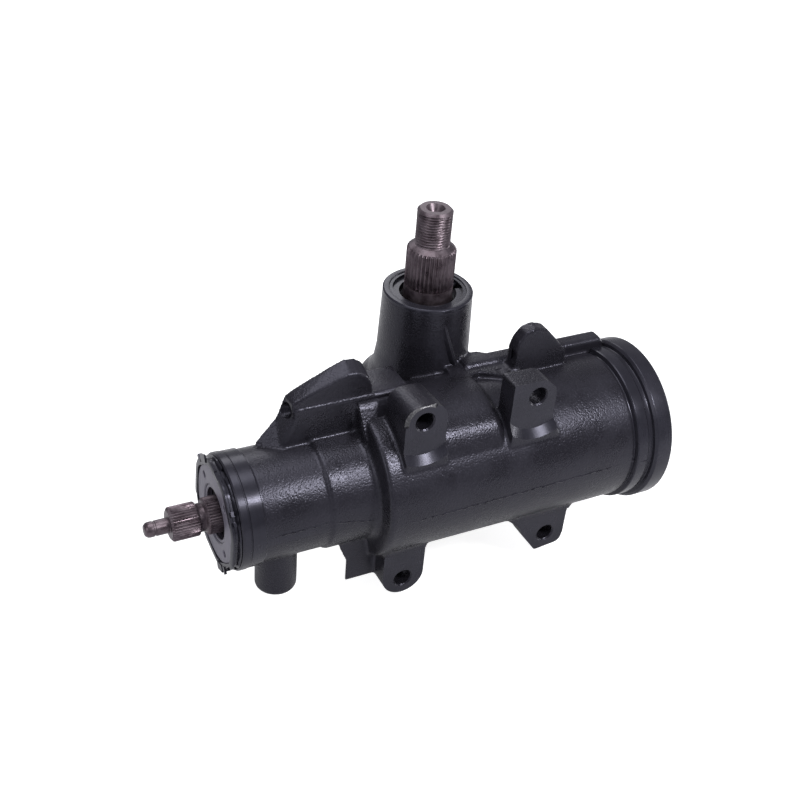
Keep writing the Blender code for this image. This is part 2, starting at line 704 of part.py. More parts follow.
def wing():
    """The triangular web that stands on the valve housing, wider at its back than at its front."""
    foot_z = VALVE_HOUSING_RADIUS - 0.0080
    end_x, peak_x, peak_z, corner_z = WING_END_X, WING_PEAK_X, WING_PEAK_Z, WING_CORNER_Z
    root_x = peak_x + 0.0180
    front = [
        (end_x - WING_FOOT_REACH, foot_z), (end_x - WING_FOOT_REACH, VALVE_HOUSING_RADIUS),
        (end_x, corner_z - 0.0100), (end_x, corner_z), (end_x + 0.0053, corner_z + 0.0024),
        (peak_x - 0.0056, peak_z - 0.0058), (peak_x, peak_z - 0.0044), (peak_x + 0.0057, peak_z - 0.0049),
        (peak_x + 0.0114, peak_z - 0.0082), (peak_x + 0.0138, peak_z - 0.0116), (root_x, peak_z - 0.0280),
        (root_x, foot_z),
    ]
    back = [
        (end_x - 2.6 * WING_FOOT_REACH, foot_z), (end_x - 2.4 * WING_FOOT_REACH, VALVE_HOUSING_RADIUS),
        (end_x - 0.0065, corner_z - 0.0137), (end_x - 0.0013, corner_z + 0.0008), (end_x + 0.0050, corner_z + 0.0046),
        (peak_x - 0.0061, peak_z - 0.0017), (peak_x, peak_z + 0.0006), (peak_x + 0.0062, peak_z),
        (peak_x + 0.0114, peak_z - 0.0035), (peak_x + 0.0142, peak_z - 0.0086), (root_x, peak_z - 0.0260),
        (root_x, foot_z),
    ]
    return loft("wing", "Y", front, back, WING_FRONT_Y, WING_FRONT_Y + WING_THICKNESS)


def part_turn(name, profile, first, last, steps):
    """A closed (x, radius) section swept part of the way about the worm axis. Angles run from +Z to -Y."""

    def build(shape):
        loops = []
        for step in range(steps + 1):
            angle = math.radians(first + (last - first) * step / steps)
            loops.append([
                shape.verts.new((x, -radius * math.sin(angle), radius * math.cos(angle))) for x, radius in profile
            ])
        for near, far in zip(loops, loops[1:]):
            for index in range(len(profile)):
                after = (index + 1) % len(profile)
                shape.faces.new([near[index], near[after], far[after], far[index]])
        shape.faces.new(loops[0])
        shape.faces.new(loops[-1])

    return mesh_from(name, build)


def bulge():
    """The thickened stretch of barrel in front of the pitman boss."""
    low = BARREL_RADIUS - 0.0070
    section = rounded([
        (BULGE_LEFT_X, low, 0),
        (BULGE_LEFT_X, BULGE_RADIUS, BULGE_CORNER),
        (BULGE_RIGHT_X, BULGE_RADIUS, BULGE_CORNER),
        (BULGE_RIGHT_X, low, 0),
    ], 3)
    return part_turn("bulge", section, -35, BULGE_FRONT_ANGLE, 8)


def top_webs():
    """Shoulder block, web, lug and rib along the top of the casting."""
    low = VALVE_BORE_RADIUS
    shoulder = [
        (-0.0200, REAR_SLEEVE_RADIUS), (SHOULDER_FRONT_Y - 0.0040, SHOULDER_STEP_Z - 0.0010),
        (SHOULDER_FRONT_Y, SHOULDER_STEP_Z), (SHOULDER_FRONT_Y, SHOULDER_TOP_Z),
        (SHOULDER_BACK_Y, SHOULDER_TOP_Z), (SHOULDER_BACK_Y, low), (-0.0200, low),
    ]
    web = [
        (0.0, PITMAN_Y - 0.0200), (0.0, 0.0100), (0.0190, 0.0126), (0.0320, 0.0042),
        (0.0440, TOP_LUG_FRONT_Y - 0.0020), (0.0480, RIB_FRONT_Y + 0.0040), (BOSS_RADIUS, PITMAN_Y - 0.0200),
    ]
    start = TOP_LUG_X
    lug = rounded([
        (start, BARREL_RADIUS - 0.0140, 0),
        (start, TOP_LUG_TOP_Z - 0.0140, 0.0050),
        (start + 0.0019, TOP_LUG_TOP_Z - 0.0080, 0.0040),
        (start + 0.0068, TOP_LUG_TOP_Z - 0.0017, 0.0050),
        (start + 0.0139, TOP_LUG_TOP_Z, 0.0060),
        (start + 0.0217, TOP_LUG_TOP_Z - 0.0023, 0.0060),
        (start + 0.0309, TOP_LUG_TOP_Z - 0.0124, 0),
        (start + 0.0385, TOP_LUG_TOP_Z - 0.0214, 0.0020),
        (start + 0.0387, BARREL_RADIUS - 0.0140, 0),
    ], 3)
    rib_back = RIB_FRONT_Y + RIB_WIDTH
    rib = rounded([
        (RIB_FRONT_Y, PISTON_BORE_RADIUS - 0.0060, 0), (RIB_FRONT_Y, RIB_TOP_Z, 0.0025),
        (rib_back, RIB_TOP_Z, 0.0025), (rib_back, PISTON_BORE_RADIUS - 0.0120, 0),
    ])
    return [
        prism("shoulder", "X", shoulder, SHOULDER_LEFT_X, SHOULDER_RIGHT_X),
        prism("web", "Z", web, WEB_TOP_Z - WEB_THICKNESS, WEB_TOP_Z),
        prism("top_lug", "Y", lug, TOP_LUG_FRONT_Y, TOP_LUG_FRONT_Y + TOP_LUG_THICKNESS),
        prism("rib", "X", rib, RIB_START_X, RIB_END_X),
    ]


def port_boss(name, bottom):
    """The outside of a hose port boss, about its own axis."""
    profile = solid_profile(
        (bottom, PORT_BOSS_RADIUS - RIM_CHAMFER), (bottom + RIM_CHAMFER, PORT_BOSS_RADIUS), (0.0, PORT_BOSS_RADIUS)
    )
    return turned(name, "Z", profile, ROUND)


def port_bore(name, bottom):
    """The threaded hole, the seat's hole and the drilling up to the valve bore."""
    seat_floor = bottom + PORT_THREAD_DEPTH
    drilling = seat_floor + PORT_SEAT_HEIGHT + GAP
    profile = solid_profile(
        (bottom - OVERRUN, PORT_THREAD_RADIUS),
        (seat_floor, PORT_THREAD_RADIUS),
        (seat_floor, PORT_SEAT_RADIUS + GAP),
        (drilling, PORT_SEAT_RADIUS + GAP),
        (drilling, PORT_DRILL_RADIUS),
        (-VALVE_BORE_RADIUS / 2, PORT_DRILL_RADIUS),
    )
    return turned(name, "Z", profile, SMALL)


def cover_places():
    """Where the four cover bolts stand, in the pitman shaft's frame."""
    return [
        (COVER_BOLT_CIRCLE * math.cos(angle), COVER_BOLT_CIRCLE * math.sin(angle)) for angle in COVER_BOLT_ANGLES
    ]


def cylinder(name, axis, low, high, radius, segments):
    """A plain cylinder, for the bosses and holes of other pieces."""
    return turned(name, axis, solid_profile((low, radius), (high, radius)), segments)


def gear_housing(frame, finish):
    """The one-piece casting with its lugs, webs, ports and bores."""
    casting = add_object("gear_housing", turned("gear_housing", "X", barrel_profile(), FINE), finish, frame)
    pad_front = [
        (PAD_LEFT_X - 0.0055, -VALVE_BORE_RADIUS), (PAD_LEFT_X - 0.0050, PAD_BOTTOM_Z + 0.0290),
        (PAD_LEFT_X, PAD_BOTTOM_Z + 0.0170), (PAD_LEFT_X, PAD_BOTTOM_Z),
        (PAD_RIGHT_X, PAD_BOTTOM_Z), (PAD_RIGHT_X, -VALVE_BORE_RADIUS),
    ]
    slant = PAD_SLANT * (PAD_BACK_Y - PAD_FRONT_Y)
    pad_back = [(x + (slant if x < PAD_RIGHT_X else 0.0), z) for x, z in pad_front]
    pad = loft("pad", "Y", pad_front, pad_back, PAD_FRONT_Y, PAD_BACK_Y)
    flange_top = COVER_FACE_Z + HOUSING_FLANGE_HEIGHT
    added = [
        (turned("valve_housing", "X", valve_housing_profile(), FINE), HERE),
        (turned("chamber", "Z", chamber_profile(), BORE), AT_PITMAN),
        (cylinder("cover_flange", "Z", COVER_FACE_Z, flange_top, COVER_RADIUS, FINE), AT_PITMAN),
        (wing(), HERE),
        (bulge(), HERE),
        (pad, HERE),
        (port_boss("pressure_boss", PRESSURE_PORT_BOTTOM), (PRESSURE_PORT_X, PRESSURE_PORT_Y, 0.0)),
        (port_boss("return_boss", RETURN_PORT_BOTTOM), (RETURN_PORT_X, RETURN_PORT_Y, 0.0)),
    ]
    added += [(mesh, HERE) for mesh in frame_lugs() + top_webs()]
    for index, (x, y) in enumerate(cover_places()):
        boss = cylinder(f"bolt_boss_{index}", "Z", COVER_FACE_Z, -SECTOR_HALF_HEIGHT, COVER_EAR_RADIUS, SMALL)
        added.append((boss, (x, PITMAN_Y + y, 0.0)))
    combine(casting, "UNION", added)

    hole = LUG_HOLE_RADIUS
    through = LUG_FACE_Y + LOWER_LUG_THICKNESS + OVERRUN
    blind = LUG_FACE_Y + UPPER_LUG_HOLE_DEPTH
    front = LUG_FACE_Y - OVERRUN
    spot_front = -END_BAND_RADIUS - OVERRUN
    cut = [
        (turned("line_bore", "X", bore_profile(), BORE), HERE),
        (turned("chamber_bore", "Z", chamber_bore_profile(), ROUND), AT_PITMAN),
        (port_bore("pressure_bore", PRESSURE_PORT_BOTTOM), (PRESSURE_PORT_X, PRESSURE_PORT_Y, 0.0)),
        (port_bore("return_bore", RETURN_PORT_BOTTOM), (RETURN_PORT_X, RETURN_PORT_Y, 0.0)),
        (cylinder("wing_hole", "X", WING_END_X - WING_FOOT_REACH, WING_END_X + WING_HOLE_DEPTH, WING_HOLE_RADIUS, TINY),
         (0.0, WING_FRONT_Y + WING_THICKNESS / 2, WING_CORNER_Z - 0.0065)),
        (cylinder("lug_relief", "Y", RIGHT_UPPER_LUG_BACK_Y, LUG_RELIEF_END_Y, LUG_RELIEF_RADIUS, SMALL),
         (RIGHT_UPPER_HOLE_X, 0.0, UPPER_HOLE_Z)),
    ]
    for x in (LEFT_UPPER_HOLE_X, RIGHT_UPPER_HOLE_X):
        place = (x, 0.0, UPPER_HOLE_Z)
        cut.append((cylinder("upper_hole", "Y", front, blind, hole, SMALL), place))
        cut.append((cylinder("spotface", "Y", spot_front, LUG_FACE_Y, SPOTFACE_RADIUS, FINE), place))
    lower = ((LEFT_LOWER_HOLE_X, LEFT_LOWER_HOLE_Z), (RIGHT_LOWER_HOLE_X, RIGHT_LOWER_HOLE_Z))
    for x, z in lower:
        cut.append((cylinder("lower_hole", "Y", front, through, hole, SMALL), (x, 0.0, z)))
    for x, y in cover_places():
        bolt_hole = cylinder(
            "bolt_hole", "Z", COVER_FACE_Z - OVERRUN, COVER_FACE_Z + COVER_BOLT_GRIP + GAP, COVER_BOLT_RADIUS + GAP, TINY
        )
        cut.append((bolt_hole, (x, PITMAN_Y + y, 0.0)))
    combine(casting, "DIFFERENCE", cut)
    return casting


def cover_outline_pieces(name, low, high):
    """The round plate of the side cover and its four ears, which a gasket has too."""
    pieces = []
    for index, (x, y) in enumerate(cover_places()):
        pieces.append((cylinder(f"{name}_ear_{index}", "Z", low, high, COVER_EAR_RADIUS, SMALL), (x, y, 0.0)))
    return pieces


def side_cover_assembly(frame, finishes):
    """Side cover, gasket, four bolts, bushing, lash adjuster screw and its lock nut."""
    cover_mesh = turned("side_cover", "Z", solid_profile(
        (HUB_BOTTOM, COVER_HUB_RADIUS - RIM_CHAMFER),
        (HUB_BOTTOM + RIM_CHAMFER, COVER_HUB_RADIUS),
        (COVER_BOTTOM, COVER_HUB_RADIUS),
        (COVER_BOTTOM, COVER_RADIUS - RIM_CHAMFER),
        (COVER_BOTTOM + RIM_CHAMFER, COVER_RADIUS),
        (COVER_TOP, COVER_RADIUS),
    ), ROUND)
    cover = add_object("side_cover", cover_mesh, finishes["casting"], frame, AT_PITMAN)
    combine(cover, "UNION", cover_outline_pieces("cover", COVER_BOTTOM, COVER_TOP))
    bushing_outer = PITMAN_JOURNAL_RADIUS + GAP + BUSHING_WALL
    cavity = turned("cover_cavity", "Z", solid_profile(
        (HUB_BOTTOM - OVERRUN, ADJUSTER_SCREW_RADIUS + GAP),
        (COVER_CAVITY_FLOOR, ADJUSTER_SCREW_RADIUS + GAP),
        (COVER_CAVITY_FLOOR, bushing_outer + GAP),
        (COVER_TOP + OVERRUN, bushing_outer + GAP),
    ), INNER)
    cut = [(cavity, HERE)]
    for x, y in cover_places():
        hole = cylinder("hole", "Z", COVER_BOTTOM - OVERRUN, COVER_TOP + OVERRUN, COVER_BOLT_RADIUS + GAP, TINY)
        cut.append((hole, (x, y, 0.0)))
    combine(cover, "DIFFERENCE", cut)

    gasket_low = GASKET_TOP - GASKET_THICKNESS
    gasket_mesh = turned(
        "side_cover_gasket", "Z", ring_profile(gasket_low, GASKET_TOP, CHAMBER_BORE_RADIUS, COVER_RADIUS), ROUND, True
    )
    gasket = add_object("side_cover_gasket", gasket_mesh, finishes["gasket"], frame, AT_PITMAN)
    ears = cover_outline_pieces("gasket", gasket_low, GASKET_TOP)
    combine(gasket, "UNION", ears)
    holes = []
    for x, y in cover_places():
        hole = cylinder("hole", "Z", gasket_low - OVERRUN, GASKET_TOP + OVERRUN, COVER_BOLT_RADIUS + GAP, TINY)
        holes.append((hole, (x, y, 0.0)))
    combine(gasket, "DIFFERENCE", holes)

    washer_top = COVER_BOTTOM - GAP
    head_top = washer_top - COVER_BOLT_WASHER_HEIGHT
    shank_top = COVER_FACE_Z + COVER_BOLT_GRIP
    for index, (x, y) in enumerate(cover_places(), 1):
        shank = turned("cover_bolt", "Z", solid_profile(
            (head_top - COVER_BOLT_HEAD_HEIGHT / 2, COVER_BOLT_RADIUS),
            (head_top, COVER_BOLT_RADIUS),
            (head_top, COVER_BOLT_WASHER_RADIUS),
            (washer_top, COVER_BOLT_WASHER_RADIUS),
            (washer_top, COVER_BOLT_RADIUS),
            (shank_top - RIM_CHAMFER, COVER_BOLT_RADIUS),
            (shank_top, COVER_BOLT_RADIUS - RIM_CHAMFER),
        ), TINY)
        bolt = add_object(
            f"side_cover_bolt_{index}", shank, finishes["fastener"], frame, (x, PITMAN_Y + y, 0.0)
        )
        head = prism("head", "Z", hexagon(COVER_BOLT_HEAD_ACROSS), head_top - COVER_BOLT_HEAD_HEIGHT, head_top + GAP)
        combine(bolt, "UNION", [(head, HERE)])

    bushing_low = COVER_CAVITY_FLOOR + GAP
    bushing_mesh = turned("side_cover_bushing", "Z", ring_profile(
        bushing_low, bushing_low + BUSHING_LENGTH, PITMAN_JOURNAL_RADIUS + GAP, bushing_outer
    ), INNER, True)
    add_object("side_cover_bushing", bushing_mesh, finishes["bronze"], frame, AT_PITMAN)

    head_low = PITMAN_SHAFT_BOTTOM + GAP
    screw_mesh = turned("lash_adjuster_screw", "Z", solid_profile(
        (LOWEST_Z, ADJUSTER_SCREW_RADIUS - RIM_CHAMFER),
        (LOWEST_Z + RIM_CHAMFER, ADJUSTER_SCREW_RADIUS),
        (head_low, ADJUSTER_SCREW_RADIUS),
        (head_low, ADJUSTER_HEAD_RADIUS),
        (head_low + ADJUSTER_HEAD_HEIGHT, ADJUSTER_HEAD_RADIUS),
    ), SMALL)
    screw = add_object("lash_adjuster_screw", screw_mesh, finishes["fastener"], frame, AT_PITMAN)
    socket = prism(
        "socket", "Z", hexagon(ADJUSTER_HEX_ACROSS), LOWEST_Z - OVERRUN, LOWEST_Z + ADJUSTER_HEX_DEPTH
    )
    combine(screw, "DIFFERENCE", [(socket, HERE)])

    nut = add_object("lash_adjuster_lock_nut", prism(
        "lash_adjuster_lock_nut", "Z", hexagon(ADJUSTER_NUT_ACROSS), ADJUSTER_NUT_BOTTOM, ADJUSTER_NUT_TOP
    ), finishes["fastener"], frame, AT_PITMAN)
    nut_hole = cylinder(
        "nut_hole", "Z", ADJUSTER_NUT_BOTTOM - OVERRUN, ADJUSTER_NUT_TOP + OVERRUN, ADJUSTER_SCREW_RADIUS + GAP, SMALL
    )
    combine(nut, "DIFFERENCE", [(nut_hole, HERE)])


def serrated(name, axis, profile, count, depth):
    """A turned body whose points marked True carry triangular serrations as deep as stated."""

    def build(shape):
        segments = 2 * count
        loops = []
        for station, radius, teeth in profile:
            loop = []
            for step in range(segments):
                angle = 2 * math.pi * step / segments
                reach = radius - (depth if teeth and step % 2 else 0.0)
                point = on_axis(axis, station, reach * math.cos(angle), reach * math.sin(angle))
                loop.append(shape.verts.new(point))
            loops.append(loop)
        for near, far in zip(loops, loops[1:]):
            for step in range(segments):
                after = (step + 1) % segments
                shape.faces.new([near[step], near[after], far[after], far[step]])
        shape.faces.new(loops[0])
        shape.faces.new(loops[-1])

    return mesh_from(name, build)


def involute_angle(radius, base):
    """How far an involute has turned by the time it reaches a radius."""
    ratio = max(radius / base, 1.0)
    return math.sqrt(ratio * ratio - 1.0) - math.acos(1.0 / ratio)


def sector_outline():
    """The sector gear seen from above, its middle tooth pointing at the rack."""
    base = SECTOR_PITCH_RADIUS * math.cos(PRESSURE_ANGLE)
    root = SECTOR_PITCH_RADIUS - TOOTH_DEDENDUM
    tip = SECTOR_PITCH_RADIUS + TOOTH_ADDENDUM
    half_at_pitch = (TOOTH_PITCH / 2 - TOOTH_BACKLASH) / 2 / SECTOR_PITCH_RADIUS
    half_at_base = half_at_pitch + involute_angle(SECTOR_PITCH_RADIUS, base)
    step = 2 * math.pi / SECTOR_FULL_COUNT
    outline = []
    first = -(SECTOR_TEETH - 1) / 2
    for tooth in range(SECTOR_TEETH):
        middle = -math.pi / 2 + (first + tooth) * step
        flank = [(root, half_at_base)]
        for point in range(FLANK_POINTS):
            radius = base + (tip - base) * point / (FLANK_POINTS - 1)
            flank.append((radius, half_at_base - involute_angle(radius, base)))
        outline += [(radius * math.cos(middle - half), radius * math.sin(middle - half)) for radius, half in flank]
        outline += [
            (radius * math.cos(middle + half), radius * math.sin(middle + half)) for radius, half in reversed(flank)
        ]
    back = math.degrees(step * SECTOR_TEETH / 2)
    outline += arc((0.0, 0.0), root, -90 + back + 6, 270 - back - 6, 12)
    return outline


def pitman_shaft(frame, finishes):
    """The output shaft with its sector gear, journals, serrations and thread, made about its axis."""
    spline_base = PITMAN_SPLINE_TOP - PITMAN_SPLINE_LENGTH
    thread_base = PITMAN_SHAFT_TOP - PITMAN_THREAD_LENGTH
    shaft_mesh = serrated("pitman_shaft", "Z", [
        (PITMAN_SHAFT_BOTTOM, PITMAN_JOURNAL_RADIUS - RIM_CHAMFER, False),
        (PITMAN_SHAFT_BOTTOM + RIM_CHAMFER, PITMAN_JOURNAL_RADIUS, False),
        (spline_base, PITMAN_JOURNAL_RADIUS, False),
        (spline_base + PITMAN_SPLINE_DEPTH, PITMAN_SPLINE_RADIUS, True),
        (PITMAN_SPLINE_TOP - PITMAN_SPLINE_CHAMFER, PITMAN_SPLINE_RADIUS, True),
        (PITMAN_SPLINE_TOP, PITMAN_SPLINE_RADIUS - PITMAN_SPLINE_CHAMFER - PITMAN_SPLINE_DEPTH, False),
        (PITMAN_SPLINE_TOP, PITMAN_NECK_RADIUS, False),
        (thread_base, PITMAN_NECK_RADIUS, False),
        (thread_base + RIM_CHAMFER, PITMAN_THREAD_RADIUS, False),
        (PITMAN_SHAFT_TOP - PITMAN_THREAD_CHAMFER, PITMAN_THREAD_RADIUS, False),
        (PITMAN_SHAFT_TOP, PITMAN_THREAD_RADIUS - PITMAN_THREAD_CHAMFER, False),
    ], PITMAN_SPLINE_COUNT, PITMAN_SPLINE_DEPTH)
    shaft = add_object("pitman_shaft", shaft_mesh, finishes["shaft_steel"], frame, AT_PITMAN)
    sector = prism("sector", "Z", sector_outline(), -SECTOR_HALF_HEIGHT, SECTOR_HALF_HEIGHT)
    combine(shaft, "UNION", [(sector, HERE)])
    pocket = cylinder(
        "pocket", "Z", PITMAN_SHAFT_BOTTOM - OVERRUN, PITMAN_SHAFT_BOTTOM + ADJUSTER_POCKET_DEPTH,
        ADJUSTER_HEAD_RADIUS + GAP, SMALL,
    )
    drill = turned("drill", "Z", solid_profile(
        (PITMAN_SHAFT_TOP + OVERRUN, CENTRE_DRILL_RADIUS),
        (PITMAN_SHAFT_TOP - CENTRE_DRILL_DEPTH / 2, CENTRE_DRILL_RADIUS),
        (PITMAN_SHAFT_TOP - CENTRE_DRILL_DEPTH, CENTRE_DRILL_RADIUS / 3),
    ), SMALL)
    combine(shaft, "DIFFERENCE", [(pocket, HERE), (drill, HERE)])
    return shaft


def open_ring(name, axis, start, end, inner, outer, opening, segments):
    """A flat ring with a gap in it, such as a retaining ring."""
    sweep = 2 * math.pi - opening
    angles = [opening / 2 + sweep * step / segments for step in range(segments + 1)]
    outline = [(outer * math.cos(angle), outer * math.sin(angle)) for angle in angles]
    outline += [(inner * math.cos(angle), inner * math.sin(angle)) for angle in reversed(angles)]
    return prism(name, axis, outline, start, end)


def pitman_seals(frame, finishes):
    """Needle bearing, two seals with a washer between them, and the ring that keeps them in."""
    bore = PITMAN_JOURNAL_RADIUS + GAP
    bearing = ring_profile(BEARING_BASE, BEARING_BASE + BEARING_LENGTH, bore, BEARING_BORE_RADIUS - GAP)
    stack = [("pitman_needle_bearing", bearing, "bright_steel")]
    level = SEAL_BORE_FLOOR + GAP
    outer = SEAL_BORE_RADIUS - GAP
    for name, height, finish in (
        ("pitman_inner_seal", SEAL_HEIGHT, "rubber"),
        ("pitman_backup_washer", BACKUP_WASHER_HEIGHT, "bright_steel"),
        ("pitman_outer_seal", SEAL_HEIGHT, "rubber"),
    ):
        stack.append((name, ring_profile(level, level + height, bore, outer), finish))
        level += height + GAP
    for name, profile, finish in stack:
        add_object(name, turned(name, "Z", profile, INNER, True), finishes[finish], frame, AT_PITMAN)
    ring_outer = SEAL_BORE_RADIUS + SEAL_GROOVE_DEPTH - GAP
    ring = open_ring(
        "pitman_retaining_ring", "Z", SEAL_GROOVE_Z + GAP, SEAL_GROOVE_Z + GAP + RETAINING_RING_THICKNESS,
        ring_outer - RETAINING_RING_WIDTH, ring_outer, RETAINING_RING_OPENING, SMALL,
    )
    add_object("pitman_retaining_ring", ring, finishes["bright_steel"], frame, AT_PITMAN)


def rack_teeth_cutter():
    """The outline, in plan, of the space that the sector swings in, with the rack's teeth left standing."""
    tip_y = RACK_PITCH_Y + TOOTH_ADDENDUM
    root_y = RACK_PITCH_Y - TOOTH_DEDENDUM
    slope = math.tan(PRESSURE_ANGLE)
    half_gap = TOOTH_PITCH / 4
    tip_half = half_gap + TOOTH_ADDENDUM * slope
    root_half = half_gap - TOOTH_DEDENDUM * slope
    ends = (SECTOR_TEETH - 1) / 2
    reach = RACK_RADIUS + OVERRUN
    outline = []
    for index in range(SECTOR_TEETH):
        middle = (index - ends) * TOOTH_PITCH
        outline += [
            (middle - tip_half, tip_y), (middle - root_half, root_y),
            (middle + root_half, root_y), (middle + tip_half, tip_y),
        ]
    last = RACK_RELIEF_HALF + OVERRUN
    outline += [(RACK_RELIEF_HALF, tip_y), (RACK_RELIEF_HALF, reach), (-last, reach), (-last, tip_y)]
    return prism("rack_teeth", "Z", outline, -RACK_RADIUS - OVERRUN, RACK_RADIUS + OVERRUN)


def rack_piston(rack, finishes):
    """The ball nut with its rack teeth, ring groove and the pocket for the ball return guides."""
    groove_end = RACK_END_X - RACK_RING_INSET
    groove_start = groove_end - RACK_RING_WIDTH - 2 * GAP
    groove_radius = RACK_RADIUS - RACK_RING_DEPTH
    mesh = turned("rack_piston", "X", solid_profile(
        (RACK_FRONT_X, RACK_RADIUS - RIM_CHAMFER),
        (RACK_FRONT_X + RIM_CHAMFER, RACK_RADIUS),
        (groove_start, RACK_RADIUS),
        (groove_start, groove_radius),
        (groove_end, groove_radius),
        (groove_end, RACK_RADIUS),
        (RACK_END_X, RACK_RADIUS),
    ), BORE)
    piston = add_object("rack_piston", mesh, finishes["bright_steel"], rack)
    bore = turned("rack_bore", "X", solid_profile(
        (RACK_FRONT_X - OVERRUN, RACK_BORE),
        (RACE_START_X, RACK_BORE),
        (RACE_START_X, RACE_RADIUS),
        (RACE_START_X + RACE_LENGTH, RACE_RADIUS),
        (RACE_START_X + RACE_LENGTH, RACK_BORE),
        (RACK_END_X + OVERRUN, RACK_BORE),
    ), ROUND)
    half = GUIDE_POCKET_HALF_HEIGHT
    outer = -RACK_RADIUS - OVERRUN
    pocket = prism(
        "pocket", "X", [(GUIDE_POCKET_Y, -half), (GUIDE_POCKET_Y, half), (outer, half), (outer, -half)],
        GUIDE_POCKET_START_X, GUIDE_POCKET_START_X + GUIDE_POCKET_LENGTH,
    )
    cut = [(bore, HERE), (rack_teeth_cutter(), HERE), (pocket, HERE)]
    for x, z in guide_leg_places():
        leg = cylinder(
            "leg_hole", "Y", GUIDE_POCKET_Y - OVERRUN, -BALL_CIRCLE + BALL_RADIUS, GUIDE_TUBE_RADIUS + GAP, SMALL
        )
        cut.append((leg, (x, 0.0, z)))
    for z in (-CLAMP_SCREW_Z, CLAMP_SCREW_Z):
        hole = cylinder(
            "screw_hole", "Y", GUIDE_POCKET_Y - OVERRUN, GUIDE_POCKET_Y + CLAMP_SCREW_LENGTH,
            CLAMP_SCREW_RADIUS + GAP, TINY,
        )
        cut.append((hole, (clamp_x(), 0.0, z)))
    combine(piston, "DIFFERENCE", cut)

    ring_x = groove_start + GAP
    ring = ring_profile(ring_x, ring_x + RACK_RING_WIDTH, groove_radius + GAP, RACK_RADIUS + GAP / 3)
    add_object("rack_piston_ring", turned("rack_piston_ring", "X", ring, BORE, True), finishes["seal_ring"], rack)

    plug_x = RACK_END_X - RACK_PLUG_LENGTH
    plug = add_object("rack_piston_plug", cylinder(
        "rack_piston_plug", "X", plug_x, RACK_END_X, RACK_BORE - GAP, ROUND
    ), finishes["fastener"], rack)
    side = RACK_PLUG_SOCKET / 2
    socket = prism(
        "socket", "X", [(-side, -side), (side, -side), (side, side), (-side, side)],
        RACK_END_X - RACK_PLUG_SOCKET_DEPTH, RACK_END_X + OVERRUN,
    )
    combine(plug, "DIFFERENCE", [(socket, HERE)])


def clamp_x():
    """Where the guide clamp crosses the pocket, along X."""
    return GUIDE_POCKET_START_X + GUIDE_POCKET_LENGTH / 2


def guide_leg_places():
    """The two places where the ball return guides dip into the nut, as (x, z)."""
    start = GUIDE_POCKET_START_X + GUIDE_LEG_INSET
    end = GUIDE_POCKET_START_X + GUIDE_POCKET_LENGTH - GUIDE_LEG_INSET
    return [(start, -GUIDE_LEG_Z), (end, GUIDE_LEG_Z)]


def bent_tube(name, path, outer, inner, segments):
    """A tube swept along a path in one plane, square to the path at each of its points."""
    points = [Vector(point) for point in path]
    normal = (points[1] - points[0]).cross(points[-1] - points[0]).normalized()

    def build(shape):
        rings = []
        for index, point in enumerate(points):
            before = points[max(index - 1, 0)]
            after = points[min(index + 1, len(points) - 1)]
            along = (after - before).normalized()
            side = along.cross(normal).normalized()
            for radius in (outer, inner):
                ring = []
                for step in range(segments):
                    angle = 2 * math.pi * step / segments
                    offset = (side * math.cos(angle) + normal * math.sin(angle)) * radius
                    ring.append(shape.verts.new(point + offset))
                rings.append(ring)
        for index in range(len(points) - 1):
            for skin in (0, 1):
                near = rings[2 * index + skin]
                far = rings[2 * index + 2 + skin]
                for step in range(segments):
                    after = (step + 1) % segments
                    shape.faces.new([near[step], near[after], far[after], far[step]])
        for end in (0, len(points) - 1):
            for step in range(segments):
                after = (step + 1) % segments
                outside, inside = rings[2 * end], rings[2 * end + 1]
                shape.faces.new([outside[step], outside[after], inside[after], inside[step]])

    return mesh_from(name, build)


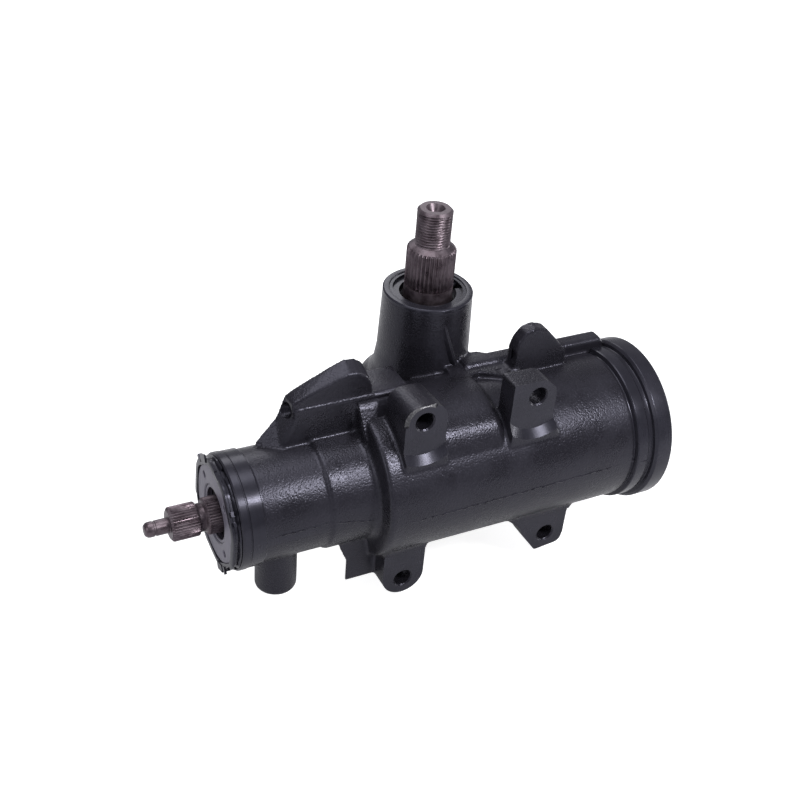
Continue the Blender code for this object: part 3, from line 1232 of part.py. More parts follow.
def ball_circuit(rack, finishes):
    """Balls in the worm's groove, and the guides that lead them back, held by a clamp."""
    for index in range(BALL_COUNT):
        angle = BALL_STEP * index
        x = BALL_START_X + WORM_HAND * WORM_LEAD * angle / (2 * math.pi)
        ball_shape = bpy.data.meshes.new(f"ball_{index}")
        sphere = bmesh.new()
        bmesh.ops.create_icosphere(sphere, subdivisions=1, radius=BALL_RADIUS)
        sphere.to_mesh(ball_shape)
        sphere.free()
        place = (x, BALL_CIRCLE * math.cos(angle), BALL_CIRCLE * math.sin(angle))
        add_object(f"recirculating_ball_{index + 1}", ball_shape, finishes["bright_steel"], rack, place)

    middle = Vector((clamp_x(), GUIDE_TUBE_Y, 0.0))
    for (x, z), name in zip(guide_leg_places(), ("ball_return_guide_front", "ball_return_guide_rear")):
        corner = Vector((x, GUIDE_TUBE_Y, z))
        towards = (middle - corner).normalized()
        bend = GUIDE_BEND_RADIUS
        path = [Vector((x, GUIDE_LEG_END_Y, z))]
        for step in range(4):
            angle = math.pi / 2 * step / 3
            path.append(
                corner + towards * bend * (1 - math.cos(angle)) + Vector((0.0, bend * (1 - math.sin(angle)), 0.0))
            )
        path.append(middle - towards * GAP / 2)
        tube = bent_tube(name, path, GUIDE_TUBE_RADIUS, GUIDE_TUBE_RADIUS - GUIDE_TUBE_WALL, TINY)
        add_object(name, tube, finishes["bright_steel"], rack)

    low = GUIDE_POCKET_Y - GAP
    under = GUIDE_TUBE_Y - GUIDE_TUBE_RADIUS - GAP
    inner, foot, thick = CLAMP_INNER_HALF_HEIGHT, CLAMP_FOOT_END, CLAMP_THICKNESS
    outline = [
        (low, foot), (low, inner), (under, inner), (under, -inner), (low, -inner), (low, -foot),
        (low - thick, -foot), (low - thick, -inner - thick), (under - thick, -inner - thick),
        (under - thick, inner + thick), (low - thick, inner + thick), (low - thick, foot),
    ]
    half = CLAMP_WIDTH / 2
    clamp = add_object("ball_guide_clamp", prism("ball_guide_clamp", "X", outline, clamp_x() - half, clamp_x() + half),
                       finishes["bright_steel"], rack)
    holes = []
    for z in (-CLAMP_SCREW_Z, CLAMP_SCREW_Z):
        hole = cylinder("hole", "Y", low - thick - OVERRUN, low + OVERRUN, CLAMP_SCREW_RADIUS + GAP, TINY)
        holes.append((hole, (clamp_x(), 0.0, z)))
    combine(clamp, "DIFFERENCE", holes)
    head_base = low - thick - GAP
    for index, z in enumerate((-CLAMP_SCREW_Z, CLAMP_SCREW_Z), 1):
        screw = turned("clamp_screw", "Y", solid_profile(
            (head_base - CLAMP_SCREW_HEAD_HEIGHT, CLAMP_SCREW_HEAD_RADIUS * 0.7),
            (head_base - CLAMP_SCREW_HEAD_HEIGHT / 2, CLAMP_SCREW_HEAD_RADIUS),
            (head_base, CLAMP_SCREW_HEAD_RADIUS),
            (head_base, CLAMP_SCREW_RADIUS),
            (GUIDE_POCKET_Y + CLAMP_SCREW_LENGTH - GAP, CLAMP_SCREW_RADIUS),
        ), TINY)
        add_object(f"ball_guide_clamp_screw_{index}", screw, finishes["fastener"], rack, (clamp_x(), 0.0, z))


def worm_radius_at(x, angle):
    """Radius of the worm at a station and an angle, with the ball groove cut into it."""
    along = x - BALL_START_X - WORM_HAND * WORM_LEAD * angle / (2 * math.pi)
    off = (along + WORM_LEAD / 2) % WORM_LEAD - WORM_LEAD / 2
    if abs(off) >= GROOVE_RADIUS:
        return WORM_RADIUS
    return min(WORM_RADIUS, BALL_CIRCLE - math.sqrt(GROOVE_RADIUS ** 2 - off ** 2))


def worm_assembly(worm, finishes):
    """The worm with its helical ball groove and its head, and the pin that drives the valve body."""
    stations = []
    for x, radius in (
        (WORM_HEAD_FRONT_X, WORM_HEAD_RADIUS),
        (WORM_HEAD_REAR_X, WORM_HEAD_RADIUS),
        (WORM_HEAD_REAR_X, WORM_NECK_RADIUS),
        (WORM_GROOVE_START_X - 0.003, WORM_NECK_RADIUS),
    ):
        stations.append((x, radius))
    grooved = WORM_END_X - RIM_CHAMFER - WORM_GROOVE_START_X
    rings = round(WORM_RINGS_PER_LEAD * grooved / WORM_LEAD)

    def build(shape):
        loops = []
        for x, radius in stations:
            loops.append([(x, radius)] * WORM_SEGMENTS)
        for ring in range(rings + 1):
            x = WORM_GROOVE_START_X + grooved * ring / rings
            loops.append([(x, worm_radius_at(x, 2 * math.pi * step / WORM_SEGMENTS)) for step in range(WORM_SEGMENTS)])
        loops.append([(WORM_END_X, BALL_CIRCLE - GROOVE_RADIUS - RIM_CHAMFER)] * WORM_SEGMENTS)
        rows = []
        for loop in loops:
            row = []
            for step, (x, radius) in enumerate(loop):
                angle = 2 * math.pi * step / WORM_SEGMENTS
                row.append(shape.verts.new((x, radius * math.cos(angle), radius * math.sin(angle))))
            rows.append(row)
        for near, far in zip(rows, rows[1:]):
            for step in range(WORM_SEGMENTS):
                after = (step + 1) % WORM_SEGMENTS
                shape.faces.new([near[step], near[after], far[after], far[step]])
        shape.faces.new(rows[0])
        shape.faces.new(rows[-1])

    shaft = add_object("worm_shaft", mesh_from("worm_shaft", build), finishes["bright_steel"], worm)
    recess = turned("recess", "X", solid_profile(
        (WORM_HEAD_FRONT_X - OVERRUN, STUB_TAIL_RADIUS + GAP),
        (STUB_TAIL_X + GAP, STUB_TAIL_RADIUS + GAP),
        (STUB_TAIL_X + GAP, TORSION_BAR_RADIUS + GAP),
        (STUB_TAIL_X + GAP + TORSION_BAR_HOLD, TORSION_BAR_RADIUS + GAP),
    ), SMALL)
    pin_start = VALVE_BODY_REAR_X + GAP / 2 - DRIVE_PIN_LENGTH / 2
    pin_hole = cylinder(
        "pin_hole", "X", pin_start - GAP, pin_start + DRIVE_PIN_LENGTH + GAP, DRIVE_PIN_RADIUS + GAP, TINY
    )
    pin_place = (0.0, 0.0, DRIVE_PIN_CIRCLE)
    combine(shaft, "DIFFERENCE", [(recess, HERE), (pin_hole, pin_place)])

    pin = cylinder("worm_drive_pin", "X", pin_start, pin_start + DRIVE_PIN_LENGTH, DRIVE_PIN_RADIUS, TINY)
    add_object("worm_drive_pin", pin, finishes["bright_steel"], worm, pin_place)

    pitch = VALVE_BODY_LENGTH / VALVE_RING_COUNT
    profile = [(VALVE_BODY_FRONT_X, VALVE_BODY_BORE), (VALVE_BODY_FRONT_X, VALVE_BODY_RADIUS)]
    groove = VALVE_BODY_RADIUS - VALVE_RING_DEPTH
    starts = []
    for index in range(VALVE_RING_COUNT):
        start = VALVE_BODY_FRONT_X + pitch * (index + 0.5) - VALVE_RING_WIDTH / 2
        starts.append(start)
        profile += [
            (start - GAP, VALVE_BODY_RADIUS), (start - GAP, groove),
            (start + VALVE_RING_WIDTH + GAP, groove), (start + VALVE_RING_WIDTH + GAP, VALVE_BODY_RADIUS),
        ]
    profile += [(VALVE_BODY_REAR_X, VALVE_BODY_RADIUS), (VALVE_BODY_REAR_X, VALVE_BODY_BORE)]
    body = add_object("valve_body", turned("valve_body", "X", profile, INNER, True), finishes["bright_steel"], worm)
    combine(body, "DIFFERENCE", [(pin_hole.copy(), pin_place)])
    for index, start in enumerate(starts, 1):
        ring = ring_profile(start, start + VALVE_RING_WIDTH, groove + GAP, VALVE_BODY_RADIUS + VALVE_RING_STANDOUT)
        name = f"valve_body_ring_{index}"
        add_object(name, turned(name, "X", ring, INNER, True), finishes["seal_ring"], worm)


def input_assembly(input_frame, finishes):
    """The input shaft with its serrated nose, the spool on it, the torsion bar and the bar's pin."""
    spline_end = STUB_SPLINE_FRONT_X + STUB_SPLINE_LENGTH
    neck_end = spline_end + STUB_NECK_LENGTH
    collar_end = neck_end + STUB_COLLAR_LENGTH
    root = STUB_SPLINE_RADIUS - STUB_SPLINE_DEPTH
    mesh = serrated("stub_shaft", "X", [
        (STUB_PILOT_TIP_X, STUB_PILOT_RADIUS - STUB_PILOT_CHAMFER, False),
        (STUB_PILOT_TIP_X + STUB_PILOT_CHAMFER, STUB_PILOT_RADIUS, False),
        (STUB_SPLINE_FRONT_X, STUB_PILOT_RADIUS, False),
        (STUB_SPLINE_FRONT_X, root - STUB_SPLINE_CHAMFER, False),
        (STUB_SPLINE_FRONT_X + STUB_SPLINE_CHAMFER, STUB_SPLINE_RADIUS, True),
        (spline_end - STUB_SPLINE_CHAMFER, STUB_SPLINE_RADIUS, True),
        (spline_end, STUB_NECK_RADIUS, False),
        (neck_end, STUB_NECK_RADIUS, False),
        (neck_end + STUB_SPLINE_CHAMFER, STUB_COLLAR_RADIUS, True),
        (collar_end, STUB_COLLAR_RADIUS, True),
        (collar_end + STUB_SPLINE_CHAMFER, STUB_JOURNAL_RADIUS, False),
        (VALVE_BODY_FRONT_X, STUB_JOURNAL_RADIUS, False),
        (VALVE_BODY_FRONT_X, STUB_TAIL_RADIUS, False),
        (STUB_TAIL_X, STUB_TAIL_RADIUS, False),
    ], STUB_SPLINE_COUNT, STUB_SPLINE_DEPTH)
    stub = add_object("stub_shaft", mesh, finishes["shaft_steel"], input_frame)
    bar_hole = cylinder(
        "bar_hole", "X", TORSION_BAR_FRONT_X - GAP, STUB_TAIL_X + OVERRUN, TORSION_BAR_RADIUS + GAP, SMALL
    )
    pin_hole = cylinder(
        "pin_hole", "Z", -STUB_JOURNAL_RADIUS - OVERRUN, STUB_JOURNAL_RADIUS + OVERRUN, TORSION_PIN_RADIUS + GAP, TINY
    )
    pin_place = (TORSION_PIN_X, 0.0, 0.0)
    combine(stub, "DIFFERENCE", [(bar_hole, HERE), (pin_hole, pin_place)])

    spool_start = VALVE_BODY_FRONT_X + (VALVE_BODY_LENGTH - SPOOL_LENGTH) / 2
    spool = ring_profile(spool_start, spool_start + SPOOL_LENGTH, STUB_TAIL_RADIUS + GAP, SPOOL_RADIUS)
    spool_object = add_object(
        "spool_valve", turned("spool_valve", "X", spool, INNER, True), finishes["bright_steel"], input_frame
    )
    slots = []
    for index in range(SPOOL_SLOTS):
        angle = 2 * math.pi * index / SPOOL_SLOTS
        centre = (SPOOL_RADIUS * math.cos(angle), SPOOL_RADIUS * math.sin(angle))
        outline = arc(centre, SPOOL_SLOT_RADIUS, 0, 330, 11)
        inset = (SPOOL_LENGTH - SPOOL_SLOT_LENGTH) / 2
        slots.append((prism("slot", "X", outline, spool_start + inset, spool_start + SPOOL_LENGTH - inset), HERE))
    combine(spool_object, "DIFFERENCE", slots)

    bar_end = STUB_TAIL_X + TORSION_BAR_HOLD
    bar = add_object("torsion_bar", turned("torsion_bar", "X", solid_profile(
        (TORSION_BAR_FRONT_X, TORSION_BAR_RADIUS),
        (TORSION_PIN_X + TORSION_BAR_HOLD, TORSION_BAR_RADIUS),
        (TORSION_PIN_X + TORSION_BAR_HOLD * 1.3, TORSION_BAR_WAIST),
        (STUB_TAIL_X - TORSION_BAR_HOLD * 0.3, TORSION_BAR_WAIST),
        (STUB_TAIL_X, TORSION_BAR_RADIUS),
        (bar_end, TORSION_BAR_RADIUS),
    ), SMALL), finishes["bright_steel"], input_frame)
    combine(bar, "DIFFERENCE", [(pin_hole.copy(), pin_place)])
    reach = STUB_JOURNAL_RADIUS - GAP
    pin = cylinder("torsion_bar_pin", "Z", -reach, reach, TORSION_PIN_RADIUS, TINY)
    add_object("torsion_bar_pin", pin, finishes["bright_steel"], input_frame, pin_place)


def lock_ring_mesh():
    """The lock ring's outline with its spanner notches."""
    half = LOCK_RING_NOTCH_WIDTH / 2 / LOCK_RING_RADIUS
    outline = []
    for notch in range(LOCK_RING_NOTCHES):
        middle = LOCK_RING_FIRST_NOTCH + 2 * math.pi * notch / LOCK_RING_NOTCHES
        following = middle + 2 * math.pi / LOCK_RING_NOTCHES
        low = LOCK_RING_RADIUS - LOCK_RING_NOTCH_DEPTH
        outline += [(low * math.cos(middle - half), low * math.sin(middle - half)),
                    (low * math.cos(middle + half), low * math.sin(middle + half))]
        outline += arc((0.0, 0.0), LOCK_RING_RADIUS, math.degrees(middle + half), math.degrees(following - half), 12)
    return prism("adjuster_lock_ring", "X", outline, LOCK_RING_FRONT_X, VALVE_HOUSING_FRONT_X - GAP)


def adjuster_plug_assembly(frame, finishes):
    """The threaded plug that preloads the valve, its lock ring, O-ring, bearing and seals."""
    o_ring_end = PLUG_O_RING_X + PLUG_O_RING_SECTION
    o_ring_floor = PLUG_THREAD_RADIUS - PLUG_O_RING_SECTION
    ring_front = PLUG_FACE_X + PLUG_MOUTH_RING_INSET
    ring_back = ring_front + RETAINING_RING_THICKNESS
    groove_radius = PLUG_MOUTH_RADIUS + SEAL_GROOVE_DEPTH
    profile = [
        (PLUG_FACE_X, PLUG_MOUTH_RADIUS),
        (PLUG_FACE_X, PLUG_FACE_RADIUS - RIM_CHAMFER),
        (PLUG_FACE_X + RIM_CHAMFER, PLUG_FACE_RADIUS),
        (VALVE_HOUSING_FRONT_X - GAP, PLUG_FACE_RADIUS),
        (VALVE_HOUSING_FRONT_X - GAP, PLUG_THREAD_RADIUS),
        (PLUG_O_RING_X - GAP, PLUG_THREAD_RADIUS),
        (PLUG_O_RING_X - GAP, o_ring_floor),
        (o_ring_end + GAP, o_ring_floor),
        (o_ring_end + GAP, PLUG_THREAD_RADIUS),
        (PLUG_END_X - GAP, PLUG_THREAD_RADIUS),
        (PLUG_END_X - GAP, PLUG_BEARING_RADIUS),
        (PLUG_MOUTH_FLOOR_X, PLUG_BEARING_RADIUS),
        (PLUG_MOUTH_FLOOR_X, PLUG_MOUTH_RADIUS),
        (ring_back + GAP, PLUG_MOUTH_RADIUS),
        (ring_back + GAP, groove_radius),
        (ring_front - GAP, groove_radius),
        (ring_front - GAP, PLUG_MOUTH_RADIUS),
    ]
    plug = add_object("adjuster_plug", turned("adjuster_plug", "X", profile, ROUND, True), finishes["plug"], frame)
    holes = []
    middle = (PLUG_MOUTH_RADIUS + PLUG_FACE_RADIUS) / 2
    for index in range(PLUG_SPANNER_HOLES):
        angle = 2 * math.pi * (index + 0.5) / PLUG_SPANNER_HOLES
        hole = cylinder(
            "spanner_hole", "X", PLUG_FACE_X - OVERRUN, PLUG_FACE_X + PLUG_SPANNER_HOLE_DEPTH,
            PLUG_SPANNER_HOLE_RADIUS, TINY,
        )
        holes.append((hole, (0.0, middle * math.cos(angle), middle * math.sin(angle))))
    combine(plug, "DIFFERENCE", holes)

    ring = ring_profile(PLUG_O_RING_X, o_ring_end, o_ring_floor + GAP, PLUG_THREAD_RADIUS)
    add_object("adjuster_plug_o_ring", turned("adjuster_plug_o_ring", "X", ring, ROUND, True), finishes["rubber"], frame)

    lock = add_object("adjuster_lock_ring", lock_ring_mesh(), finishes["casting"], frame)
    lock_bore = cylinder(
        "lock_bore", "X", LOCK_RING_FRONT_X - OVERRUN, VALVE_HOUSING_FRONT_X + OVERRUN, PLUG_FACE_RADIUS + GAP, ROUND
    )
    combine(lock, "DIFFERENCE", [(lock_bore, HERE)])

    bore = STUB_JOURNAL_RADIUS + GAP
    bearing_x = PLUG_MOUTH_FLOOR_X + GAP
    bearing = ring_profile(bearing_x, bearing_x + STUB_BEARING_LENGTH, bore, PLUG_BEARING_RADIUS - GAP)
    name = "stub_needle_bearing"
    add_object(name, turned(name, "X", bearing, INNER, True), finishes["bright_steel"], frame)
    outer = PLUG_MOUTH_RADIUS - GAP
    seal_start = PLUG_MOUTH_FLOOR_X - GAP - STUB_SEAL_LENGTH
    seal = ring_profile(seal_start, seal_start + STUB_SEAL_LENGTH, bore, outer)
    add_object("stub_shaft_seal", turned("stub_shaft_seal", "X", seal, INNER, True), finishes["rubber"], frame)
    dust_start = ring_back + GAP
    dust = ring_profile(dust_start, seal_start - GAP, bore, outer)
    add_object("stub_dust_seal", turned("stub_dust_seal", "X", dust, INNER, True), finishes["rubber"], frame)
    keeper_outer = groove_radius - GAP
    keeper = open_ring(
        "stub_seal_retaining_ring", "X", ring_front, ring_back, keeper_outer - RETAINING_RING_WIDTH / 2, keeper_outer,
        RETAINING_RING_OPENING, SMALL,
    )
    add_object("stub_seal_retaining_ring", keeper, finishes["bright_steel"], frame)


def thrust_bearings(frame, finishes):
    """A flat thrust bearing at each end of the valve and worm stack."""
    lower = VALVE_STACK_END_X - THRUST_BEARING_THICKNESS
    upper = PLUG_END_X + GAP
    for name, start in (("lower_thrust_bearing", lower), ("upper_thrust_bearing", upper)):
        ring = ring_profile(start, start + THRUST_BEARING_THICKNESS, THRUST_BEARING_BORE, THRUST_BEARING_RADIUS)
        add_object(name, turned(name, "X", ring, INNER, True), finishes["bright_steel"], frame)


def end_plug_assembly(frame, finishes):
    """The plug that closes the barrel, its O-ring and its retaining ring."""
    ring_x = END_PLUG_X + (END_PLUG_THICKNESS - END_O_RING_SECTION) / 2
    ring_end = ring_x + END_O_RING_SECTION
    outer = END_BORE_RADIUS - GAP
    floor = outer - END_O_RING_SECTION
    dish = END_PLUG_REAR_X - END_PLUG_DISH_DEPTH
    plug = turned("end_plug", "X", solid_profile(
        (END_PLUG_X, outer - RIM_CHAMFER),
        (END_PLUG_X + RIM_CHAMFER, outer),
        (ring_x - GAP, outer),
        (ring_x - GAP, floor),
        (ring_end + GAP, floor),
        (ring_end + GAP, outer),
        (END_PLUG_REAR_X, outer),
        (END_PLUG_REAR_X, END_PLUG_DISH_RADIUS),
        (dish, END_PLUG_DISH_RADIUS - END_PLUG_DISH_DEPTH / 2),
    ), ROUND)
    add_object("end_plug", plug, finishes["plug"], frame)
    ring = ring_profile(ring_x, ring_end, floor + GAP, outer)
    add_object("end_plug_o_ring", turned("end_plug_o_ring", "X", ring, ROUND, True), finishes["rubber"], frame)
    wire_outer = END_BORE_RADIUS + END_RING_SEAT
    wire = open_ring(
        "end_plug_retaining_ring", "X", END_RING_X, END_RING_X + END_RING_THICKNESS, wire_outer - END_RING_WIDTH,
        wire_outer, END_RING_OPENING, ROUND,
    )
    add_object("end_plug_retaining_ring", wire, finishes["bright_steel"], frame)


def port_seats(frame, finishes):
    """The brass seats that a hose fitting seals against."""
    for name, x, y, bottom in (
        ("pressure_port_seat", PRESSURE_PORT_X, PRESSURE_PORT_Y, PRESSURE_PORT_BOTTOM),
        ("return_port_seat", RETURN_PORT_X, RETURN_PORT_Y, RETURN_PORT_BOTTOM),
    ):
        low = bottom + PORT_THREAD_DEPTH
        seat = ring_profile(low, low + PORT_SEAT_HEIGHT, PORT_SEAT_BORE, PORT_SEAT_RADIUS)
        add_object(name, turned(name, "Z", seat, SMALL, True), finishes["bronze"], frame, (x, y, 0.0))


def joint_frame(name, parent, location):
    """An empty on a joint's axis, which the moving pieces hang from."""
    made = bpy.data.objects.new(name, None)
    bpy.context.scene.collection.objects.link(made)
    made.parent = parent
    made.location = location
    return made


def frame_place():
    """Puts the middle of the gearbox's box over the origin and its lowest point on the ground."""
    middle_x = (STUB_PILOT_TIP_X + BARREL_END_X) / 2
    middle_y = (PITMAN_Y + COVER_RADIUS - END_BAND_RADIUS) / 2
    return (-middle_x, -middle_y, -LOWEST_Z)


def main():
    for old in list(bpy.data.objects):
        bpy.data.objects.remove(old)
    finishes = {
        "casting": material("black_cast_iron", (0.022, 0.022, 0.027), 0.38, 0.0),
        "plug": material("grey_painted_plug", (0.110, 0.105, 0.125), 0.42, 0.3),
        "shaft_steel": material("dark_shaft_steel", (0.120, 0.108, 0.118), 0.38, 0.9),
        "bright_steel": material("ground_steel", (0.520, 0.520, 0.530), 0.25, 1.0),
        "fastener": material("zinc_fastener", (0.350, 0.340, 0.330), 0.35, 1.0),
        "bronze": material("bearing_bronze", (0.500, 0.330, 0.160), 0.35, 1.0),
        "rubber": material("seal_rubber", (0.018, 0.018, 0.018), 0.60, 0.0),
        "seal_ring": material("filled_ptfe", (0.110, 0.060, 0.040), 0.55, 0.0),
        "gasket": material("gasket_fibre", (0.060, 0.090, 0.130), 0.80, 0.0),
    }
    frame = joint_frame("gearbox_frame", None, frame_place())
    worm = joint_frame("worm_axis", frame, HERE)
    input_frame = joint_frame("input_axis", frame, HERE)
    rack = joint_frame("rack_axis", frame, HERE)

    gear_housing(frame, finishes["casting"])
    side_cover_assembly(frame, finishes)
    pitman_shaft(frame, finishes)
    pitman_seals(frame, finishes)
    rack_piston(rack, finishes)
    ball_circuit(rack, finishes)
    worm_assembly(worm, finishes)
    thrust_bearings(frame, finishes)
    input_assembly(input_frame, finishes)
    adjuster_plug_assembly(frame, finishes)
    end_plug_assembly(frame, finishes)
    port_seats(frame, finishes)


main()
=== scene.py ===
"""Looks of a recirculating-ball steering gearbox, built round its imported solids.

Sizes are in millimetres, measured from the point where the worm axis passes the pitman shaft, with +X
towards the end plug, -Y towards the frame and +Z up the pitman shaft. Every piece is placed in the row
frame by one offset, PLACE.
"""

from __future__ import annotations

import json
import logging
import math
from collections.abc import Callable, Sequence
from dataclasses import dataclass
from enum import Enum
from typing import Any

import bmesh
import bpy
from mathutils import Matrix, Vector

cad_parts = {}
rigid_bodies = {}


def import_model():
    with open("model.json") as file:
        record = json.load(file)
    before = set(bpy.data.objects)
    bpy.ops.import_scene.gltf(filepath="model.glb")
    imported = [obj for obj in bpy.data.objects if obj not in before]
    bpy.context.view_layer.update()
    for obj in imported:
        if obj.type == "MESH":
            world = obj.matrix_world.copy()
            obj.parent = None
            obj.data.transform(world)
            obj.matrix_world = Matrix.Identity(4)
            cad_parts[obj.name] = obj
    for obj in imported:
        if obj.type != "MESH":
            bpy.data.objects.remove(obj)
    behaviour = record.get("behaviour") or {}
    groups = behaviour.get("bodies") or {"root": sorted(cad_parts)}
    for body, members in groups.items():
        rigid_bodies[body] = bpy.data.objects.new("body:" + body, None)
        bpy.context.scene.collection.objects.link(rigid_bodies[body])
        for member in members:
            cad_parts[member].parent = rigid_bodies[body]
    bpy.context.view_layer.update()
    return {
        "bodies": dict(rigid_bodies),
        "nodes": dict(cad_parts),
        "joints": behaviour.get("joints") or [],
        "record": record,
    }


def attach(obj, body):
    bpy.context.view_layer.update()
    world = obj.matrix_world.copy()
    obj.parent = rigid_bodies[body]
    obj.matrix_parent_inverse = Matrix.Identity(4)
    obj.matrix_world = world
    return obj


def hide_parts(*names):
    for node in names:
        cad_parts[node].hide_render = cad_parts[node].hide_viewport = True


LOG = logging.getLogger("gearbox")

MM = 0.001
PLACE = Vector((35.55, -25.65, 77.5)) * MM
ORIGIN = (0.0, 0.0, 0.0)
PITMAN = (0.0, 55.5, 0.0)
LAMP_AIM = Vector((-0.02, 0.01, 0.03))  # from PLACE, in metres

MIX_FIRST, MIX_SECOND, MIX_COLOUR = 6, 7, 2  # a Mix node's colour sockets
PAINT_TINT = (0.81, 0.80, 1.0, 1.0)
PAINT_SPECULAR = 0.36
SHARP_ANGLE = 32.0
TOOTH_CREST, TOOTH_SLOPE = 1.45, 3.2
RING_STEPS = 72
BOLT_CLEARANCE = 5.1  # radius of the holes for the side cover's bolts

Point2 = tuple[float, float]
Point3 = tuple[float, float, float]
Colour = tuple[float, float, float]
Profile = Sequence[Point2]
Corners = Sequence[tuple[float, float, float]]  # two coordinates and a rounding, 0 for a sharp corner
Material = bpy.types.Material
Piece = bpy.types.Object


class Body(Enum):
    """The moving bodies that pieces ride on."""

    HOUSING = "housing"
    WORM = "worm"
    INPUT = "input"
    RACK = "rack"
    PITMAN = "pitman"


class Axis(Enum):
    """The axis that a turned or extruded shape follows."""

    X = "X"
    Y = "Y"
    Z = "Z"

    def point(self, along: float, first: float, second: float) -> Vector:
        """A point from its place on this axis and its two other coordinates, in X, Y, Z order."""
        if self is Axis.X:
            return Vector((along, first, second))
        if self is Axis.Y:
            return Vector((first, along, second))
        return Vector((first, second, along))


# ---------------------------------------------------------------------- shading


class Signal:
    """An output socket that Python's operators can combine with numbers and other signals."""

    def __init__(self, graph: Graph, socket: bpy.types.NodeSocket) -> None:
        """Wraps a socket of a graph."""
        self.graph = graph
        self.socket = socket

    def _math(self, operation: str, *values: Any) -> Signal:
        """Adds a Math node on the given values."""
        return self.graph.node("ShaderNodeMath", {"operation": operation}, dict(enumerate(values)))

    def __add__(self, other: Signal | float) -> Signal:
        """Sum."""
        return self._math("ADD", self, other)

    def __radd__(self, other: float) -> Signal:
        """Sum with a number on the left."""
        return self._math("ADD", other, self)

    def __sub__(self, other: Signal | float) -> Signal:
        """Difference."""
        return self._math("SUBTRACT", self, other)

    def __mul__(self, other: Signal | float) -> Signal:
        """Product."""
        return self._math("MULTIPLY", self, other)

    def clamped(self) -> Signal:
        """The value held between 0 and 1."""
        return self.graph.node("ShaderNodeClamp", {}, {"Value": self})

    def ramp(self, low: float, high: float) -> Signal:
        """The value mapped from low..high to 0..1, with soft ends."""
        inputs = {"Value": self, "From Min": low, "From Max": high}
        return self.graph.node("ShaderNodeMapRange", {"interpolation_type": "SMOOTHSTEP"}, inputs)


class Graph:
    """The node tree of one material, with its Principled shader."""

    def __init__(self, name: str) -> None:
        """Makes a material and keeps only its shader and output."""
        self.material = bpy.data.materials.new(name)
        self.material.use_nodes = True
        self.tree = self.material.node_tree
        self.shader = self.tree.nodes["Principled BSDF"]

    def node(self, kind: str, settings: dict[str, Any], inputs: dict[Any, Any],
             output: int | str = 0) -> Signal:
        """Adds one node.

        Args:
            kind: The node's type.
            settings: Its properties.
            inputs: Values or signals, by socket name or number.
            output: The output to return.

        Returns:
            The chosen output as a signal.
        """
        made = self.tree.nodes.new(kind)
        for key, value in settings.items():
            setattr(made, key, value)
        for key, value in inputs.items():
            if isinstance(value, Signal):
                self.tree.links.new(value.socket, made.inputs[key])
            else:
                made.inputs[key].default_value = value
        return Signal(self, made.outputs[output])

    def place(self) -> Signal:
        """Coordinates fixed to the piece, in metres."""
        return self.node("ShaderNodeTexCoord", {}, {}, "Object")

    def stretched(self, factors: Point3) -> Signal:
        """The piece's coordinates multiplied along each axis."""
        return self.node("ShaderNodeVectorMath", {"operation": "MULTIPLY"}, {0: self.place(), 1: factors})

    def noise(self, scale: float, detail: float, rough: float) -> Signal:
        """Noise with features about one over scale metres wide."""
        inputs = {"Vector": self.place(), "Scale": scale, "Detail": detail, "Roughness": rough}
        return self.node("ShaderNodeTexNoise", {}, inputs)

    def streaks(self, factors: Point3, detail: float, rough: float) -> Signal:
        """Noise drawn out along the axes with small factors."""
        inputs = {"Vector": self.stretched(factors), "Scale": 1.0, "Detail": detail, "Roughness": rough}
        return self.node("ShaderNodeTexNoise", {}, inputs)

    def cells(self, scale: float) -> Signal:
        """Distance to the nearest of scattered points."""
        return self.node("ShaderNodeTexVoronoi", {}, {"Vector": self.place(), "Scale": scale})

    def blend(self, factor: Signal, first: Colour, second: Colour) -> Signal:
        """A mix of two colours."""
        inputs = {0: factor, MIX_FIRST: (*first, 1.0), MIX_SECOND: (*second, 1.0)}
        return self.node("ShaderNodeMix", {"data_type": "RGBA"}, inputs, MIX_COLOUR)

    def bump(self, height: Signal, depth_mm: float) -> None:
        """Feeds a height between 0 and 1 to the shader's normal."""
        inputs = {"Height": height, "Distance": depth_mm * MM, "Strength": 1.0}
        self.feed("Normal", self.node("ShaderNodeBump", {}, inputs))

    def feed(self, name: str, value: Any) -> None:
        """Sets or links one of the shader's sockets."""
        if isinstance(value, Signal):
            self.tree.links.new(value.socket, self.shader.inputs[name])
        else:
            self.shader.inputs[name].default_value = value


class Grain(Enum):
    """How a finish varies over its surface."""

    CAST = "cast"
    TURNED = "turned"
    BARE = "bare"
    MOULDED = "moulded"
    FIBRE = "fibre"


